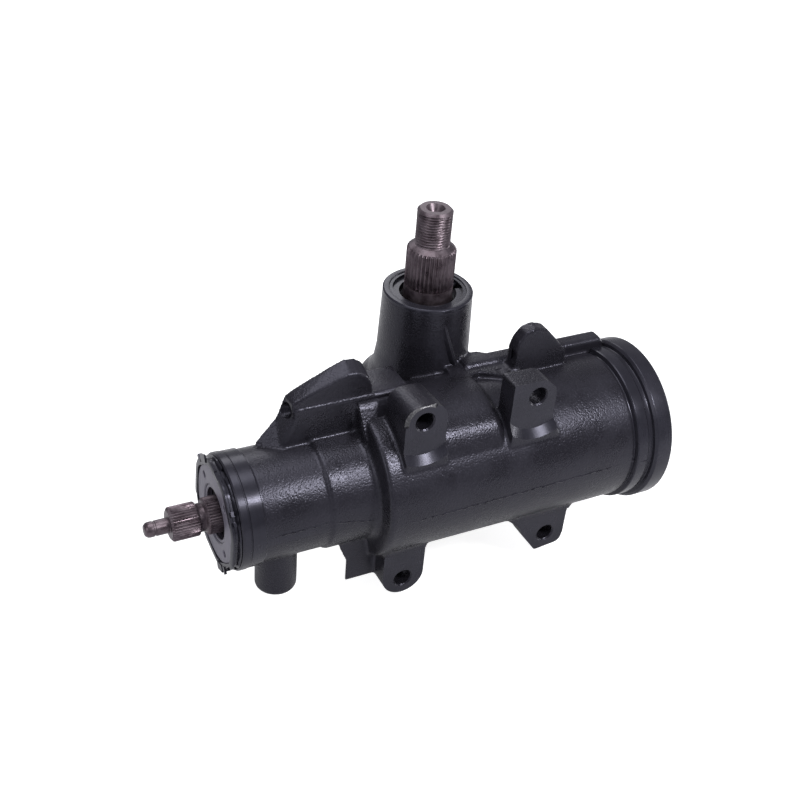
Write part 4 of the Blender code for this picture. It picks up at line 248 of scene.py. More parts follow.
@dataclass(frozen=True)
class Finish:
    """One surface finish: its colours, its gloss and its relief."""

    name: str
    colour: Colour
    second: Colour
    roughness: float
    swing: float
    metallic: float
    grain: Grain
    depth: float

    def build(self) -> Material:
        """Makes the material."""
        graph = Graph(self.name)
        graph.feed("Metallic", self.metallic)
        if self.metallic == 0.0:
            graph.feed("Specular Tint", PAINT_TINT)
            graph.feed("Specular IOR Level", PAINT_SPECULAR)
        makers: dict[Grain, Callable[[Graph], tuple[Signal, Signal]]] = {
            Grain.CAST: self._cast,
            Grain.TURNED: self._turned,
            Grain.BARE: self._bare,
            Grain.MOULDED: self._moulded,
            Grain.FIBRE: self._fibre,
        }
        height, tone = makers[self.grain](graph)
        graph.feed("Base Color", graph.blend(tone, self.colour, self.second))
        graph.feed("Roughness", (self.roughness + (tone - 0.5) * self.swing).clamped())
        graph.bump(height, self.depth)
        return graph.material

    @staticmethod
    def _cast(graph: Graph) -> tuple[Signal, Signal]:
        """Sand-cast pits and lumps under paint, with a slow change of gloss."""
        grit = graph.noise(scale=900.0, detail=2.0, rough=0.6)
        lumps = graph.noise(scale=260.0, detail=2.0, rough=0.5)
        pits = graph.cells(650.0).ramp(0.0, 0.55)
        slow = graph.noise(scale=38.0, detail=3.0, rough=0.5).ramp(0.35, 0.68)
        height = grit * 0.50 + lumps * 0.35 + pits * 0.25
        return height, (slow * 0.55 + grit.ramp(0.45, 0.7) * 0.45)

    @staticmethod
    def _turned(graph: Graph) -> tuple[Signal, Signal]:
        """Fine tool marks that run round the worm axis."""
        lines = graph.streaks((3200.0, 24.0, 24.0), detail=2.0, rough=0.6)
        slow = graph.noise(scale=60.0, detail=3.0, rough=0.55).ramp(0.3, 0.7)
        return lines * 0.7 + slow * 0.3, (slow * 0.6 + lines * 0.4)

    @staticmethod
    def _bare(graph: Graph) -> tuple[Signal, Signal]:
        """Bare steel with oil film, light rust blush and fine scratches."""
        film = graph.noise(scale=160.0, detail=4.0, rough=0.65).ramp(0.34, 0.66)
        scratches = graph.streaks((420.0, 2600.0, 420.0), detail=2.0, rough=0.7)
        specks = graph.cells(1500.0).ramp(0.1, 0.5)
        return scratches * 0.5 + specks * 0.3 + film * 0.2, (film * 0.75 + scratches * 0.25)

    @staticmethod
    def _moulded(graph: Graph) -> tuple[Signal, Signal]:
        """A fine even pebble, as on rubber and filled plastic."""
        pebble = graph.noise(scale=1800.0, detail=2.0, rough=0.5)
        slow = graph.noise(scale=90.0, detail=2.0, rough=0.5)
        return pebble, (slow * 0.7 + pebble * 0.3)

    @staticmethod
    def _fibre(graph: Graph) -> tuple[Signal, Signal]:
        """Short pressed fibres."""
        strands = graph.streaks((500.0, 2400.0, 2400.0), detail=3.0, rough=0.7)
        cross = graph.streaks((2400.0, 500.0, 2400.0), detail=3.0, rough=0.7)
        mixed = strands * 0.5 + cross * 0.5
        return mixed, mixed.ramp(0.35, 0.65)


FINISHES = {
    "casting_paint": Finish(
        "cast_black_paint", (0.0085, 0.0080, 0.0105), (0.0150, 0.0143, 0.0190),
        0.33, 0.20, 0.0, Grain.CAST, 0.30,
    ),
    "machined_paint": Finish(
        "machined_black_paint", (0.0095, 0.0093, 0.0125), (0.0165, 0.0160, 0.0215),
        0.25, 0.12, 0.0, Grain.TURNED, 0.015,
    ),
    "plug_paint": Finish(
        "grey_coated_plug", (0.1200, 0.1120, 0.1450), (0.1850, 0.1750, 0.2150),
        0.44, 0.16, 0.25, Grain.TURNED, 0.02,
    ),
    "shaft_steel": Finish(
        "dark_oiled_steel", (0.0620, 0.0450, 0.0540), (0.1500, 0.1230, 0.1400),
        0.36, 0.24, 0.80, Grain.BARE, 0.03,
    ),
    # lighter, part-metallic paint for wear on one lug's bevel, which also paints in the highlight that the
    # bevel catches
    "worn_highlight_edge": Finish(
        "worn_highlight_cast_edge", (0.0400, 0.0400, 0.0450), (0.2100, 0.2050, 0.2150),
        0.42, 0.20, 0.55, Grain.CAST, 0.35,
    ),
    "ground_steel": Finish(
        "ground_steel", (0.4300, 0.4300, 0.4450), (0.5600, 0.5550, 0.5600),
        0.26, 0.14, 1.0, Grain.TURNED, 0.01,
    ),
    "fastener_steel": Finish(
        "zinc_plated_steel", (0.3000, 0.2900, 0.2700), (0.4400, 0.4250, 0.3900),
        0.36, 0.16, 1.0, Grain.BARE, 0.02,
    ),
    "bearing_bronze": Finish(
        "bearing_bronze", (0.4200, 0.2600, 0.1100), (0.5600, 0.3700, 0.1800),
        0.34, 0.14, 1.0, Grain.TURNED, 0.01,
    ),
    "seal_rubber": Finish(
        "seal_rubber", (0.0120, 0.0120, 0.0125), (0.0240, 0.0235, 0.0240),
        0.58, 0.16, 0.0, Grain.MOULDED, 0.03,
    ),
    "filled_ptfe": Finish(
        "filled_ptfe", (0.0900, 0.0500, 0.0330), (0.1350, 0.0800, 0.0550),
        0.52, 0.12, 0.0, Grain.MOULDED, 0.02,
    ),
    "gasket_fibre": Finish(
        "pressed_fibre", (0.0400, 0.0600, 0.0900), (0.0850, 0.1150, 0.1500),
        0.80, 0.12, 0.0, Grain.FIBRE, 0.04,
    ),
}


# ---------------------------------------------------------------------- shapes


def arc(centre: Point2, radius: float, start: float, end: float, steps: int) -> list[Point2]:
    """Points on an arc, both ends included, with the angles in degrees."""
    angles = [math.radians(start + (end - start) * step / steps) for step in range(steps + 1)]
    return [(centre[0] + radius * math.cos(turn), centre[1] + radius * math.sin(turn)) for turn in angles]


def rounded(corners: Corners, steps: int = 6, closed: bool = True) -> list[Point2]:
    """An outline whose corners are rounded.

    Args:
        corners: The corners, in order.
        steps: Facets in each rounding.
        closed: Whether the outline closes, so that its end corners can be rounded too.

    Returns:
        The points of the outline.
    """
    outline: list[Point2] = []
    count = len(corners)
    for index, (x, y, radius) in enumerate(corners):
        ends = not closed and index in (0, count - 1)
        if radius <= 0.0 or ends:
            outline.append((x, y))
            continue
        here = Vector((x, y))
        before = (Vector(corners[index - 1][:2]) - here).normalized()
        after = (Vector(corners[(index + 1) % count][:2]) - here).normalized()
        half = before.angle(after) / 2
        reach = radius / math.tan(half)
        centre = here + (before + after).normalized() * radius / math.sin(half)
        first = here + before * reach - centre
        sweep = first.angle_signed(here + after * reach - centre)
        for step in range(steps + 1):
            turn = Matrix.Rotation(-sweep * step / steps, 2)
            point = centre + turn @ first
            outline.append((point.x, point.y))
    return outline


class Form:
    """A mesh under construction, made of closed shells in millimetres."""

    def __init__(self) -> None:
        """Starts empty."""
        self.shape = bmesh.new()

    def bridge(self, near: Sequence[Any], far: Sequence[Any]) -> None:
        """Joins two loops of points with faces. A loop of one point makes a cone."""
        count = max(len(near), len(far))
        for step in range(count):
            after = (step + 1) % count
            corners = [near[step % len(near)], near[after % len(near)]]
            corners += [far[after % len(far)], far[step % len(far)]]
            face = list(dict.fromkeys(corners))
            if len(face) > 2:
                self.shape.faces.new(face)

    def skin(self, loops: Sequence[Sequence[Any]]) -> Form:
        """Joins loops of points one after another and closes both ends."""
        for near, far in zip(loops, loops[1:]):
            self.bridge(near, far)
        self.shape.faces.new(loops[0])
        self.shape.faces.new(loops[-1])
        return self

    def lathe(self, axis: Axis, profile: Profile, segments: int, at: Point3 = ORIGIN, ring: bool = False,
              depth: Callable[[float, float], float] | None = None) -> Form:
        """Adds a turned shell.

        Args:
            axis: The axis it turns about.
            profile: Stations along the axis and radii. It closes onto the axis unless it is a ring.
            segments: Facets round the axis.
            at: The place of the axis.
            ring: Whether the profile closes on itself.
            depth: How far to lower the radius at a station and an angle, for teeth and threads.

        Returns:
            This form.
        """
        points = list(profile)
        if not ring:
            points = [(points[0][0], 0.0), *points, (points[-1][0], 0.0)]
        loops = []
        for station, radius in points:
            if radius <= 0.0:
                loops.append([self.shape.verts.new(Vector(at) + axis.point(station, 0.0, 0.0))])
                continue
            loop = []
            for step in range(segments):
                angle = 2 * math.pi * step / segments
                reach = radius - (depth(station, angle) if depth else 0.0)
                place = axis.point(station, reach * math.cos(angle), reach * math.sin(angle))
                loop.append(self.shape.verts.new(Vector(at) + place))
            loops.append(loop)
        pairs = list(zip(loops, loops[1:]))
        if ring:
            pairs.append((loops[-1], loops[0]))
        for near, far in pairs:
            self.bridge(near, far)
        return self

    def loft(self, axis: Axis, first: Profile, second: Profile, low: float, high: float,
             at: Point3 = ORIGIN) -> Form:
        """Adds a shell that runs from one outline to another with as many points."""
        place = Vector(at)
        bottom = [self.shape.verts.new(place + axis.point(low, *point)) for point in first]
        top = [self.shape.verts.new(place + axis.point(high, *point)) for point in second]
        self.shape.faces.new(bottom)
        self.shape.faces.new(top)
        self.bridge(bottom, top)
        return self

    def prism(self, axis: Axis, outline: Profile, low: float, high: float, at: Point3 = ORIGIN) -> Form:
        """Adds an extruded outline."""
        return self.loft(axis, outline, outline, low, high, at)

    def partial(self, section: Profile, first: float, last: float, steps: int, sink: float,
                fade: float) -> Form:
        """Adds a section of (x, radius) points swept about the worm axis, from +Z towards -Y in degrees.

        Args:
            section: The section, as stations along X and radii.
            first: The angle it starts at.
            last: The angle it ends at.
            steps: Facets between the two.
            sink: How far its radii have shrunk at the end.
            fade: The angle from which they shrink.

        Returns:
            This form.
        """
        loops = []
        for step in range(steps + 1):
            degrees = first + (last - first) * step / steps
            share = max(0.0, (degrees - fade) / (last - fade))
            drop = sink * share * share * (3.0 - 2.0 * share)
            angle = math.radians(degrees)
            across, up = -math.sin(angle), math.cos(angle)
            points = [(x, (radius - drop) * across, (radius - drop) * up) for x, radius in section]
            loops.append([self.shape.verts.new(point) for point in points])
        return self.skin(loops)

    def finish(self, name: str) -> Piece:
        """Turns the form into an object in the row frame, with smooth shading and crisp edges."""
        bmesh.ops.recalc_face_normals(self.shape, faces=self.shape.faces)
        bmesh.ops.scale(self.shape, vec=(MM, MM, MM), verts=self.shape.verts)
        bmesh.ops.translate(self.shape, vec=PLACE, verts=self.shape.verts)
        mesh = bpy.data.meshes.new(name)
        self.shape.to_mesh(mesh)
        self.shape.free()
        made = bpy.data.objects.new(name, mesh)
        bpy.context.scene.collection.objects.link(made)
        shade(made)
        return made


def shade(piece: Piece, degrees: float = SHARP_ANGLE) -> None:
    """Shades a piece smoothly, apart from edges sharper than an angle."""
    piece.data.shade_smooth()
    piece.data.set_sharp_from_angle(angle=math.radians(degrees))


def bake_modifiers(piece: Piece) -> None:
    """Puts the result of a piece's modifiers into its mesh."""
    graph = bpy.context.evaluated_depsgraph_get()
    mesh = bpy.data.meshes.new_from_object(piece.evaluated_get(graph))
    old = piece.data
    piece.modifiers.clear()
    piece.data = mesh
    bpy.data.meshes.remove(old)


def carve(piece: Piece, operation: str, tools: Sequence[Form]) -> None:
    """Cuts or joins closed forms, one after another."""
    for index, tool in enumerate(tools):
        helper = tool.finish(f"{piece.name}_tool_{index}")
        boolean = piece.modifiers.new("carve", "BOOLEAN")
        boolean.operation = operation
        boolean.object = helper
        boolean.solver = "MANIFOLD"
        bake_modifiers(piece)
        bpy.data.objects.remove(helper)


def dress(piece: Piece, finish: Material, body: Body, slot: str, *nodes: str) -> None:
    """Gives a piece its finish and says what it rides on and which solids it stands for."""
    piece.data.materials.clear()
    piece.data.materials.append(finish)
    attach(piece, body.value)
    if nodes:
        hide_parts(*nodes)
    LOG.info("%s: %d faces on %s", piece.name, len(piece.data.polygons), body.value)


def hexagon(flats: float) -> list[Point2]:
    """A hexagon, from the distance between its centre and its flats."""
    return arc((0.0, 0.0), flats / math.cos(math.pi / 6), 0, 300, 5)


def teeth(count: int, depth: float, first: float, last: float) -> Callable[[float, float], float]:
    """Serrations of a depth between two stations, which run out at both."""

    def lowered(station: float, angle: float) -> float:
        """How deep the space between teeth is here."""
        if not first <= station <= last:
            return 0.0
        phase = (angle * count / (2 * math.pi)) % 1.0
        return depth * min(1.0, max(0.0, TOOTH_CREST - TOOTH_SLOPE * abs(phase - 0.5)))

    return lowered


# ---------------------------------------------------------------------- housing


# Outlines of the casting's webs and lugs. With three values, the third rounds the corner.
WING_FRONT = (
    (-119.0, 26.7), (-119.0, 34.7), (-111.0, 53.2), (-111.0, 63.2), (-105.7, 65.6), (-81.1, 74.9),
    (-75.5, 76.3), (-69.8, 75.8), (-64.1, 72.5), (-61.7, 69.1), (-57.5, 52.7), (-57.5, 26.7),
)
WING_BACK = (
    (-131.8, 26.7), (-130.2, 34.7), (-117.5, 49.5), (-112.3, 64.0), (-106.0, 67.8), (-81.6, 79.0),
    (-75.5, 81.3), (-69.3, 80.7), (-64.1, 77.2), (-61.3, 72.1), (-57.5, 54.7), (-57.5, 26.7),
)
WING_STEP = ((-118.2, 32.0), (-110.2, 52.0), (-109.8, 59.2), (-40.0, 59.2), (-40.0, 32.0))
WING_HOLE = ((-122.0, 5.2), (-112.0, 5.0), (-110.0, 3.6), (-97.0, 3.6), (-95.5, 1.0))
SHOULDER_BLOCK = (
    (-12.0, 30.0, 0), (-12.0, 38.5, 0), (0.5, 54.6, 1.5), (4.9, 56.0, 0), (4.9, 59.6, 1.5), (29.0, 60.0, 2.0),
    (29.0, 24.0, 0), (-4.0, 24.0, 0),
)
LOW_LEDGE = (
    (-12.8, 38.0, 0), (-2.0, 54.0, 1.2), (0.6, 56.4, 1.3), (4.8, 57.0, 0), (12.0, 57.0, 0), (12.0, 30.0, 0),
    (-12.8, 30.0, 0),
)
HIGH_LEDGE = ((2.5, 50.0, 0), (2.5, 58.2, 1.2), (4.4, 60.2, 1.6), (9.0, 60.6, 0), (9.0, 50.0, 0))
BULGE = ((-50.0, 42.0, 0), (-50.0, 53.5, 6.0), (12.5, 53.5, 4.5), (12.5, 42.0, 0))
WEB = ((0.0, 35.5), (0.0, 10.0), (19.0, 12.6), (32.0, 4.2), (44.0, 5.0), (48.0, 22.0), (28.6, 35.5))
TOP_LUG = (
    (40.1, 35.0, 0), (40.1, 66.0, 5.0), (42.0, 72.0, 4.0), (46.9, 78.3, 5.0), (54.0, 80.0, 6.0),
    (61.8, 77.7, 6.0), (71.0, 67.6, 0), (78.6, 58.6, 2.0), (78.8, 35.0, 0),
)
PASSAGE_RIB = ((18.0, 32.0, 0), (18.0, 54.5, 2.5), (29.5, 54.5, 2.5), (29.5, 26.0, 0))
PASSAGE_PAD = ((27.4, 40.0), (27.4, 50.0), (30.0, 50.0), (30.0, 40.0))
BOSS_RIB = (
    (42.5, (7.0, 27.6), (11.0, 23.9), (12.8, 24.3), (14.6, 30.0)),
    (60.0, (0.2, 27.2), (4.2, 24.0), (6.0, 24.6), (8.2, 29.0)),
    (79.0, (-5.0, 28.2), (-2.0, 25.4), (-0.4, 25.7), (1.4, 28.6)),
    (84.5, (-4.6, 29.2), (-2.6, 28.0), (-1.6, 28.0), (-0.2, 29.4)),
)
BOSS_RIB_ROOT = (0.0, 33.0)
PAD = ((-89.3, -24.0), (-88.8, -32.0), (-83.8, -44.0), (-83.8, -61.0), (-56.0, -61.0), (-56.0, -24.0))
# Lug outlines, measured from the lug's hole.
LEFT_LUG_FACE = ((-12.7, -33.0, 0), (-12.7, 11.4, 11.0), (14.8, 11.4, 11.0), (14.8, -33.0, 0))
LEFT_LUG_ROOT = ((-11.5, -33.0, 0), (-11.5, 8.5, 9.0), (14.0, 8.5, 9.0), (14.0, -33.0, 0))
RIGHT_LUG = (
    (-17.7, -33.0, 0), (-17.7, 11.4, 0.8), (4.5, 11.4, 7.0), (13.1, 2.9, 7.0), (13.1, -18.0, 5.0),
    (18.0, -33.0, 0),
)
LOW_RIGHT_LUG = (
    (-39.0, 28.0, 0), (-30.0, 18.8, 0), (-20.9, 10.1, 6.0), (-17.4, 2.1, 6.0), (-10.6, -7.1, 3.0),
    (-6.5, -12.8, 2.0), (12.6, -10.6, 5.0), (14.3, -3.0, 4.0), (14.5, 15.5, 4.0), (19.0, 28.0, 0),
)


# Flash along the mould's joint: waves with a rate per mm, a phase and a size in mm.
FLASH_WANDER = ((1.7, 0.0, 0.175), (0.43, 1.0, 0.2), (3.1, 0.0, 0.075))
FLASH_HEIGHT = ((0.9, 0.0, 0.20), (2.3, 0.6, 0.12))
FLASH_WIDTH = ((1.3, 0.0, 0.2),)
FLASH_STEP = 1.6
FLASH_SINK = 0.1


def waves(x: float, parts: Sequence[Point3]) -> float:
    """A sum of sine waves at a place."""
    return sum(size * math.sin(x * rate + phase) for rate, phase, size in parts)


def moved(corners: Corners, to: Point2) -> list[Point2]:
    """A rounded outline whose corners are measured from a point."""
    return rounded([(to[0] + x, to[1] + z, radius) for x, z, radius in corners])


@dataclass
class Housing:
    """The casting with its lugs, webs, ports and bores."""

    barrel: float = 49.0
    shoulder_x: float = -69.4
    front_x: float = -66.4
    end_x: float = 131.6
    band: float = 54.2
    first_band: float = 51.2
    sleeve: float = 36.1
    sleeve_x: float = -99.2
    valve: float = 34.6
    collar: float = 35.9
    valve_front: float = -155.5
    piston_bore: float = 38.0
    chamber: float = 42.0
    boss: float = 28.55
    boss_base: float = 29.9
    boss_top: float = 93.0
    lug_face: float = -34.5
    upper_stock: float = 4.5
    lower_stock: float = 1.6
    lower_lug_depth: float = 14.0
    hole: float = 5.7
    hole_back: float = -12.5
    holes_upper: tuple[Point2, Point2] = ((-44.3, 60.7), (32.2, 60.7))
    holes_lower: tuple[Point2, Point2] = ((-49.2, -59.6), (55.7, -54.8))
    ports: tuple[Point3, Point3] = ((-124.7, -8.0, -60.0), (-98.0, 20.0, -44.0))
    port: float = 13.0
    cover_z: float = -49.0
    cover: float = 50.0
    bolt_circle: float = 46.0
    spot: float = 28.8
    spot_flat: float = 23.3
    spot_start: float = -39.6
    voxel: float = 0.95
    quick_voxel: float = 1.7
    sharp: float = 38.0

    def bolt_places(self) -> list[Point3]:
        """Where the four cover bolts stand."""
        turns = [math.radians(45 + 90 * quarter) for quarter in range(4)]
        return [
            (self.bolt_circle * math.cos(turn), PITMAN[1] + self.bolt_circle * math.sin(turn), 0.0)
            for turn in turns
        ]

    def build(self, paint: Material, machined: Material, worn_highlight: Material) -> None:
        """Makes the casting and its machined rings."""
        body = self.cast_body()
        remesh = body.modifiers.new("voxels", "REMESH")
        remesh.mode = "VOXEL"
        remesh.voxel_size = self.voxel * MM * 1.0
        smooth = body.modifiers.new("smooth", "SMOOTH")
        smooth.factor = 0.5
        smooth.iterations = 4
        bake_modifiers(body)
        carve(body, "UNION", self.crisp_shapes())
        carve(body, "DIFFERENCE", self.cutters())
        shade(body, self.sharp)
        dress(body, paint, Body.HOUSING, "casting_paint", "gear_housing")
        self.paint_machined(body, machined, worn_highlight)
        for ring in (self.collar_ring(), self.end_bands(), self.boss_ring()):
            dress(ring, machined, Body.HOUSING, "casting_paint", "gear_housing")
        dress(self.parting_line(), paint, Body.HOUSING, "casting_paint", "gear_housing")

    def paint_machined(self, body: Piece, machined: Material,
                       worn_highlight: Material) -> None:
        """Gives machined faces smooth paint, and one lug's rim a lighter edge for paint wear that also paints
        in the rim's highlight.
        """
        body.data.materials.append(machined)
        body.data.materials.append(worn_highlight)
        for face in body.data.polygons:
            centre = (face.center - PLACE) / MM
            if self.is_machined(centre, face.normal):
                face.material_index = 1
            elif self.is_worn_highlight(centre, face.normal):
                face.material_index = 2

    def is_machined(self, centre: Vector, normal: Vector) -> bool:
        """Whether a face lies on a lug's flat, on the low side of an upper spotface or in the boss's bore."""
        on_lug = normal.y < -0.995 and abs(centre.y - self.lug_face) < 0.1
        middle = (self.spot + self.spot_flat) / 2
        on_spotface = centre.y < self.lug_face and normal.y > -0.98 and normal.z > 0.2 and any(
            centre.z < z - 20.0 and abs(math.hypot(centre.x - x, centre.z - z) - middle) < 3.2
            for x, z in self.holes_upper
        )
        in_bore = centre.z > 21.5 and math.hypot(centre.x, centre.y - PITMAN[1]) < self.boss - 3.0
        return on_lug or on_spotface or in_bore

    def is_worn_highlight(self, centre: Vector, normal: Vector) -> bool:
        """Whether a face lies on the bevel round the upper left lug's hole, which is drawn lighter for wear
        and a painted highlight.
        """
        x, z = self.holes_upper[0]
        reach = math.hypot(centre.x - x, centre.z - z)
        # the lighter edge finish here stands for paint wear and also paints in the highlight on this bevel
        on_rim = self.lug_face < centre.y < -31.0 and 9.5 < reach < 14.5 and centre.z > z - 3.0
        return on_rim and -0.85 < normal.y < -0.55

    def cast_body(self) -> Piece:
        """All cast shapes as overlapping closed shells, with faces left proud where they are machined."""
        form = Form()
        form.lathe(Axis.X, [
            (-76.0, 30.0), (-73.0, self.sleeve), (-71.2, 36.8), (self.shoulder_x - 0.6, 38.2),
            (self.shoulder_x, 40.0), (self.shoulder_x + 0.8, self.barrel - 2.2),
            (self.shoulder_x + 1.5, self.barrel - 0.7), (self.front_x, self.barrel),
            (self.end_x - 27.0, self.barrel),
        ], 128)
        form.lathe(Axis.X, [
            (self.valve_front + 1.2, self.collar - 1.4), (-141.2, self.collar - 1.4), (-140.0, self.valve),
            (self.sleeve_x - 1.5, self.valve), (self.sleeve_x, self.sleeve), (self.front_x, self.sleeve),
        ], 128)
        form.lathe(Axis.Z, [
            (self.cover_z, self.chamber), (21.0, self.chamber), (26.0, 39.6), (31.0, 34.6), (38.0, 31.6),
            (50.0, self.boss_base), (self.boss_top - 2.0, self.boss), (self.boss_top - 0.7, self.boss - 0.6),
        ], 96, PITMAN)
        form.lathe(Axis.Z, [(self.cover_z, self.cover), (self.cover_z + 11.0, self.cover)], 96, PITMAN)
        for place in self.bolt_places():
            form.lathe(Axis.Z, [(self.cover_z, 9.8), (-19.0, 9.8), (-16.0, 7.0)], 32, place)
        form.loft(Axis.Y, WING_FRONT, WING_BACK, 4.0, 14.5)
        form.prism(Axis.Y, WING_STEP, 2.6, 6.0)
        self.top_webs(form)
        self.lugs(form)
        for x, y, low in self.ports:
            form.lathe(Axis.Z, [
                (low, self.port - 2.0), (low + 0.6, self.port - 0.9), (low + 1.8, self.port), (0.0, self.port)
            ], 48, (x, y, 0.0))
        return form.finish("housing_casting")

    @staticmethod
    def top_webs(form: Form) -> None:
        """Shoulder block, bulge, web, top lug and passage rib."""
        form.prism(Axis.X, rounded(SHOULDER_BLOCK, 3), -71.0, -36.0)
        form.partial(rounded(BULGE), first=-35, last=60, steps=32, sink=6.0, fade=30)
        form.prism(Axis.Z, WEB, 36.0, 52.0)
        form.prism(Axis.Y, rounded(TOP_LUG), 7.0, 17.0)
        section = rounded(PASSAGE_RIB, 4)
        form.prism(Axis.X, section, 12.0, 114.0)
        inset = [(y * 0.985 + 0.35, min(z, 51.5)) for y, z in section]
        form.loft(Axis.X, section, inset, 113.5, 116.0)
        form.prism(Axis.X, PASSAGE_PAD, 0.0, 10.0)

    @staticmethod
    def crisp_shapes() -> list[Form]:
        """Ledges and the slanted rib on the boss, whose edges stay sharp under the paint."""
        rib = Form()
        rib.skin([
            [rib.shape.verts.new((x, y, z)) for x, y in (*corners, BOSS_RIB_ROOT)] for z, *corners in BOSS_RIB
        ])
        return [
            Form().prism(Axis.X, rounded(LOW_LEDGE, 3), -70.6, -36.5),
            Form().prism(Axis.X, rounded(HIGH_LEDGE, 4), -80.5, -37.0),
            rib,
        ]

    def lugs(self, form: Form) -> None:
        """The four frame lugs and the pad beside them, left proud of their machined faces."""
        proud = self.lug_face - self.upper_stock
        left, right = self.holes_upper
        form.loft(Axis.Y, moved(LEFT_LUG_FACE, left), moved(LEFT_LUG_ROOT, left), proud, -6.0)
        form.prism(Axis.Y, moved(RIGHT_LUG, right), proud, -19.0)
        proud = self.lug_face - self.lower_stock
        back = self.lug_face + self.lower_lug_depth
        (x, z), right = self.holes_lower
        outline = [(x - 14.2, -19.0), *arc((x, z + 2.6), 14.2, 180, 360, 24), (x + 14.2, -19.0)]
        form.prism(Axis.Y, outline, proud, back)
        form.prism(Axis.Y, moved(LOW_RIGHT_LUG, right), proud, back)
        pad_back = [(x + (5.8 if x < -60.0 else 0.0), z) for x, z in PAD]
        form.loft(Axis.Y, PAD, pad_back, -22.0, -12.0)

    def cutters(self) -> list[Form]:
        """Everything that is machined out of the casting."""
        tools = [
            Form().lathe(Axis.X, [
                (-160.0, 29.8), (-134.0, 29.8), (-134.0, 24.0), (-66.5, 24.0), (-66.5, 19.0), (-60.0, 19.0),
                (-60.0, self.piston_bore), (112.0, self.piston_bore), (112.0, 42.3), (134.0, 42.3),
            ], 96),
            Form().lathe(Axis.Z, [
                (-52.0, 35.0), (21.0, 35.0), (21.0, 20.3), (75.5, 20.3), (75.5, 22.3), (96.0, 22.3),
            ], 72, PITMAN),
        ]
        for x, y, low in self.ports:
            tools.append(Form().lathe(Axis.Z, [
                (low - 2.0, 9.6), (low - 0.2, 9.2), (low + 0.9, 8.0), (low + 15.0, 8.0), (low + 15.0, 6.5),
                (low + 19.8, 6.5), (low + 19.8, 3.0), (-12.0, 3.0),
            ], 40, (x, y, 0.0)))
        spotface = [(-62.0, self.spot), (self.spot_start, self.spot), (self.lug_face, self.spot_flat)]
        for x, z in self.holes_upper:
            tools.append(Form().lathe(Axis.Y, spotface, 112, (x, 0.0, z)))
            tools.append(self.bolt_hole(x, z, self.hole_back))
        for x, z in self.holes_lower:
            front = [(x - 24, -62), (x + 24, -62), (x + 24, self.lug_face), (x - 24, self.lug_face)]
            tools.append(Form().prism(Axis.Z, front, -80.0, -36.5))
            tools.append(self.bolt_hole(x, z, self.lug_face + 16.5))
        x, z = self.holes_upper[0]
        bevels = [
            arc((0.0, 0.0), 20.0, 56, 188, 24) + arc((0.0, 0.0), inner, 188, 56, 24)
            for inner in (8.4, 13.9)
        ]
        tools.append(Form().loft(Axis.Y, *bevels, -36.6, -31.1, (x, 0.0, z)))
        x, z = self.holes_upper[1]
        tools.append(Form().lathe(Axis.Y, [(-19.0, 9.2), (12.0, 9.2)], 48, (x, 0.0, z)))
        tools.append(Form().lathe(Axis.X, WING_HOLE, 32, (0.0, 9.25, 56.7)))
        drilled = [(self.cover_z - 2.0, BOLT_CLEARANCE), (self.cover_z + 16.3, BOLT_CLEARANCE)]
        tools += [Form().lathe(Axis.Z, drilled, 24, place) for place in self.bolt_places()]
        return tools

    def bolt_hole(self, x: float, z: float, back: float) -> Form:
        """A lug's hole, chamfered at its mouth."""
        face = self.lug_face
        return Form().lathe(Axis.Y, [
            (-62.0, self.hole + 0.9), (face, self.hole + 0.9), (face + 0.9, self.hole), (back, self.hole),
            (back + 2.5, 0.8),
        ], 40, (x, 0.0, z))

    def collar_ring(self) -> Piece:
        """The machined collar at the mouth of the valve housing, with its two fine grooves."""
        front, high = self.valve_front, self.collar
        return Form().lathe(Axis.X, [
            (front, 29.9), (front, high - 0.9), (front + 0.9, high), (front + 4.9, high),
            (front + 5.3, high - 0.7), (front + 5.8, high - 0.7), (front + 6.2, high - 0.3),
            (front + 14.2, high - 0.4), (front + 14.8, high - 1.2), (front + 15.5, high - 1.3),
            (front + 15.5, 33.0), (front + 3.0, 33.0), (front + 3.0, 29.9),
        ], 144, ring=True).finish("housing_collar")

    def end_bands(self) -> Piece:
        """The two machined bands round the open end, with the grooves beside them."""
        start = self.end_x - 28.3
        first = self.end_x - 24.8
        second = self.end_x - 12.8
        profile = rounded([
            (start, 46.0, 0), (start, 49.0, 0), (start + 1.0, 48.1, 0.4), (first - 1.2, 48.1, 0.5),
            (first - 0.4, self.first_band - 0.4, 0.3), (first + 0.3, self.first_band, 0.5),
            (first + 7.2, self.first_band, 0.5), (first + 8.2, 50.2, 0.4), (second - 0.9, 50.2, 0.5),
            (second - 0.5, 52.4, 0.3), (second + 0.9, self.band, 0.8), (self.end_x - 1.4, self.band, 0.8),
            (self.end_x, self.band - 1.4, 0.5), (self.end_x, 43.1, 0.3), (self.end_x - 0.8, 42.3, 0),
            (128.9, 42.3, 0), (128.9, 44.2, 0), (126.9, 44.2, 0), (126.9, 42.3, 0), (113.0, 42.3, 0),
            (113.0, 46.0, 0),
        ], 4)
        return Form().lathe(Axis.X, profile, 160, ring=True).finish("housing_end_bands")

    def boss_ring(self) -> Piece:
        """The machined mouth of the pitman boss, with the groove for its retaining ring."""
        top, outer = self.boss_top, self.boss
        return Form().lathe(Axis.Z, rounded([
            (top - 9.0, 26.5, 0), (top - 2.6, 26.5, 0), (top - 2.6, outer + 0.02, 0),
            (top - 0.8, outer + 0.04, 0.3), (top, outer - 0.9, 0.3), (top, 24.4, 0.3), (top - 1.0, 24.1, 0.4),
            (top - 1.8, 22.3, 0), (90.7, 22.3, 0), (90.7, 23.3, 0), (88.5, 23.3, 0), (88.5, 22.3, 0),
            (76.0, 22.3, 0), (76.0, 26.5, 0),
        ], 4), 112, PITMAN, ring=True).finish("housing_boss_mouth")

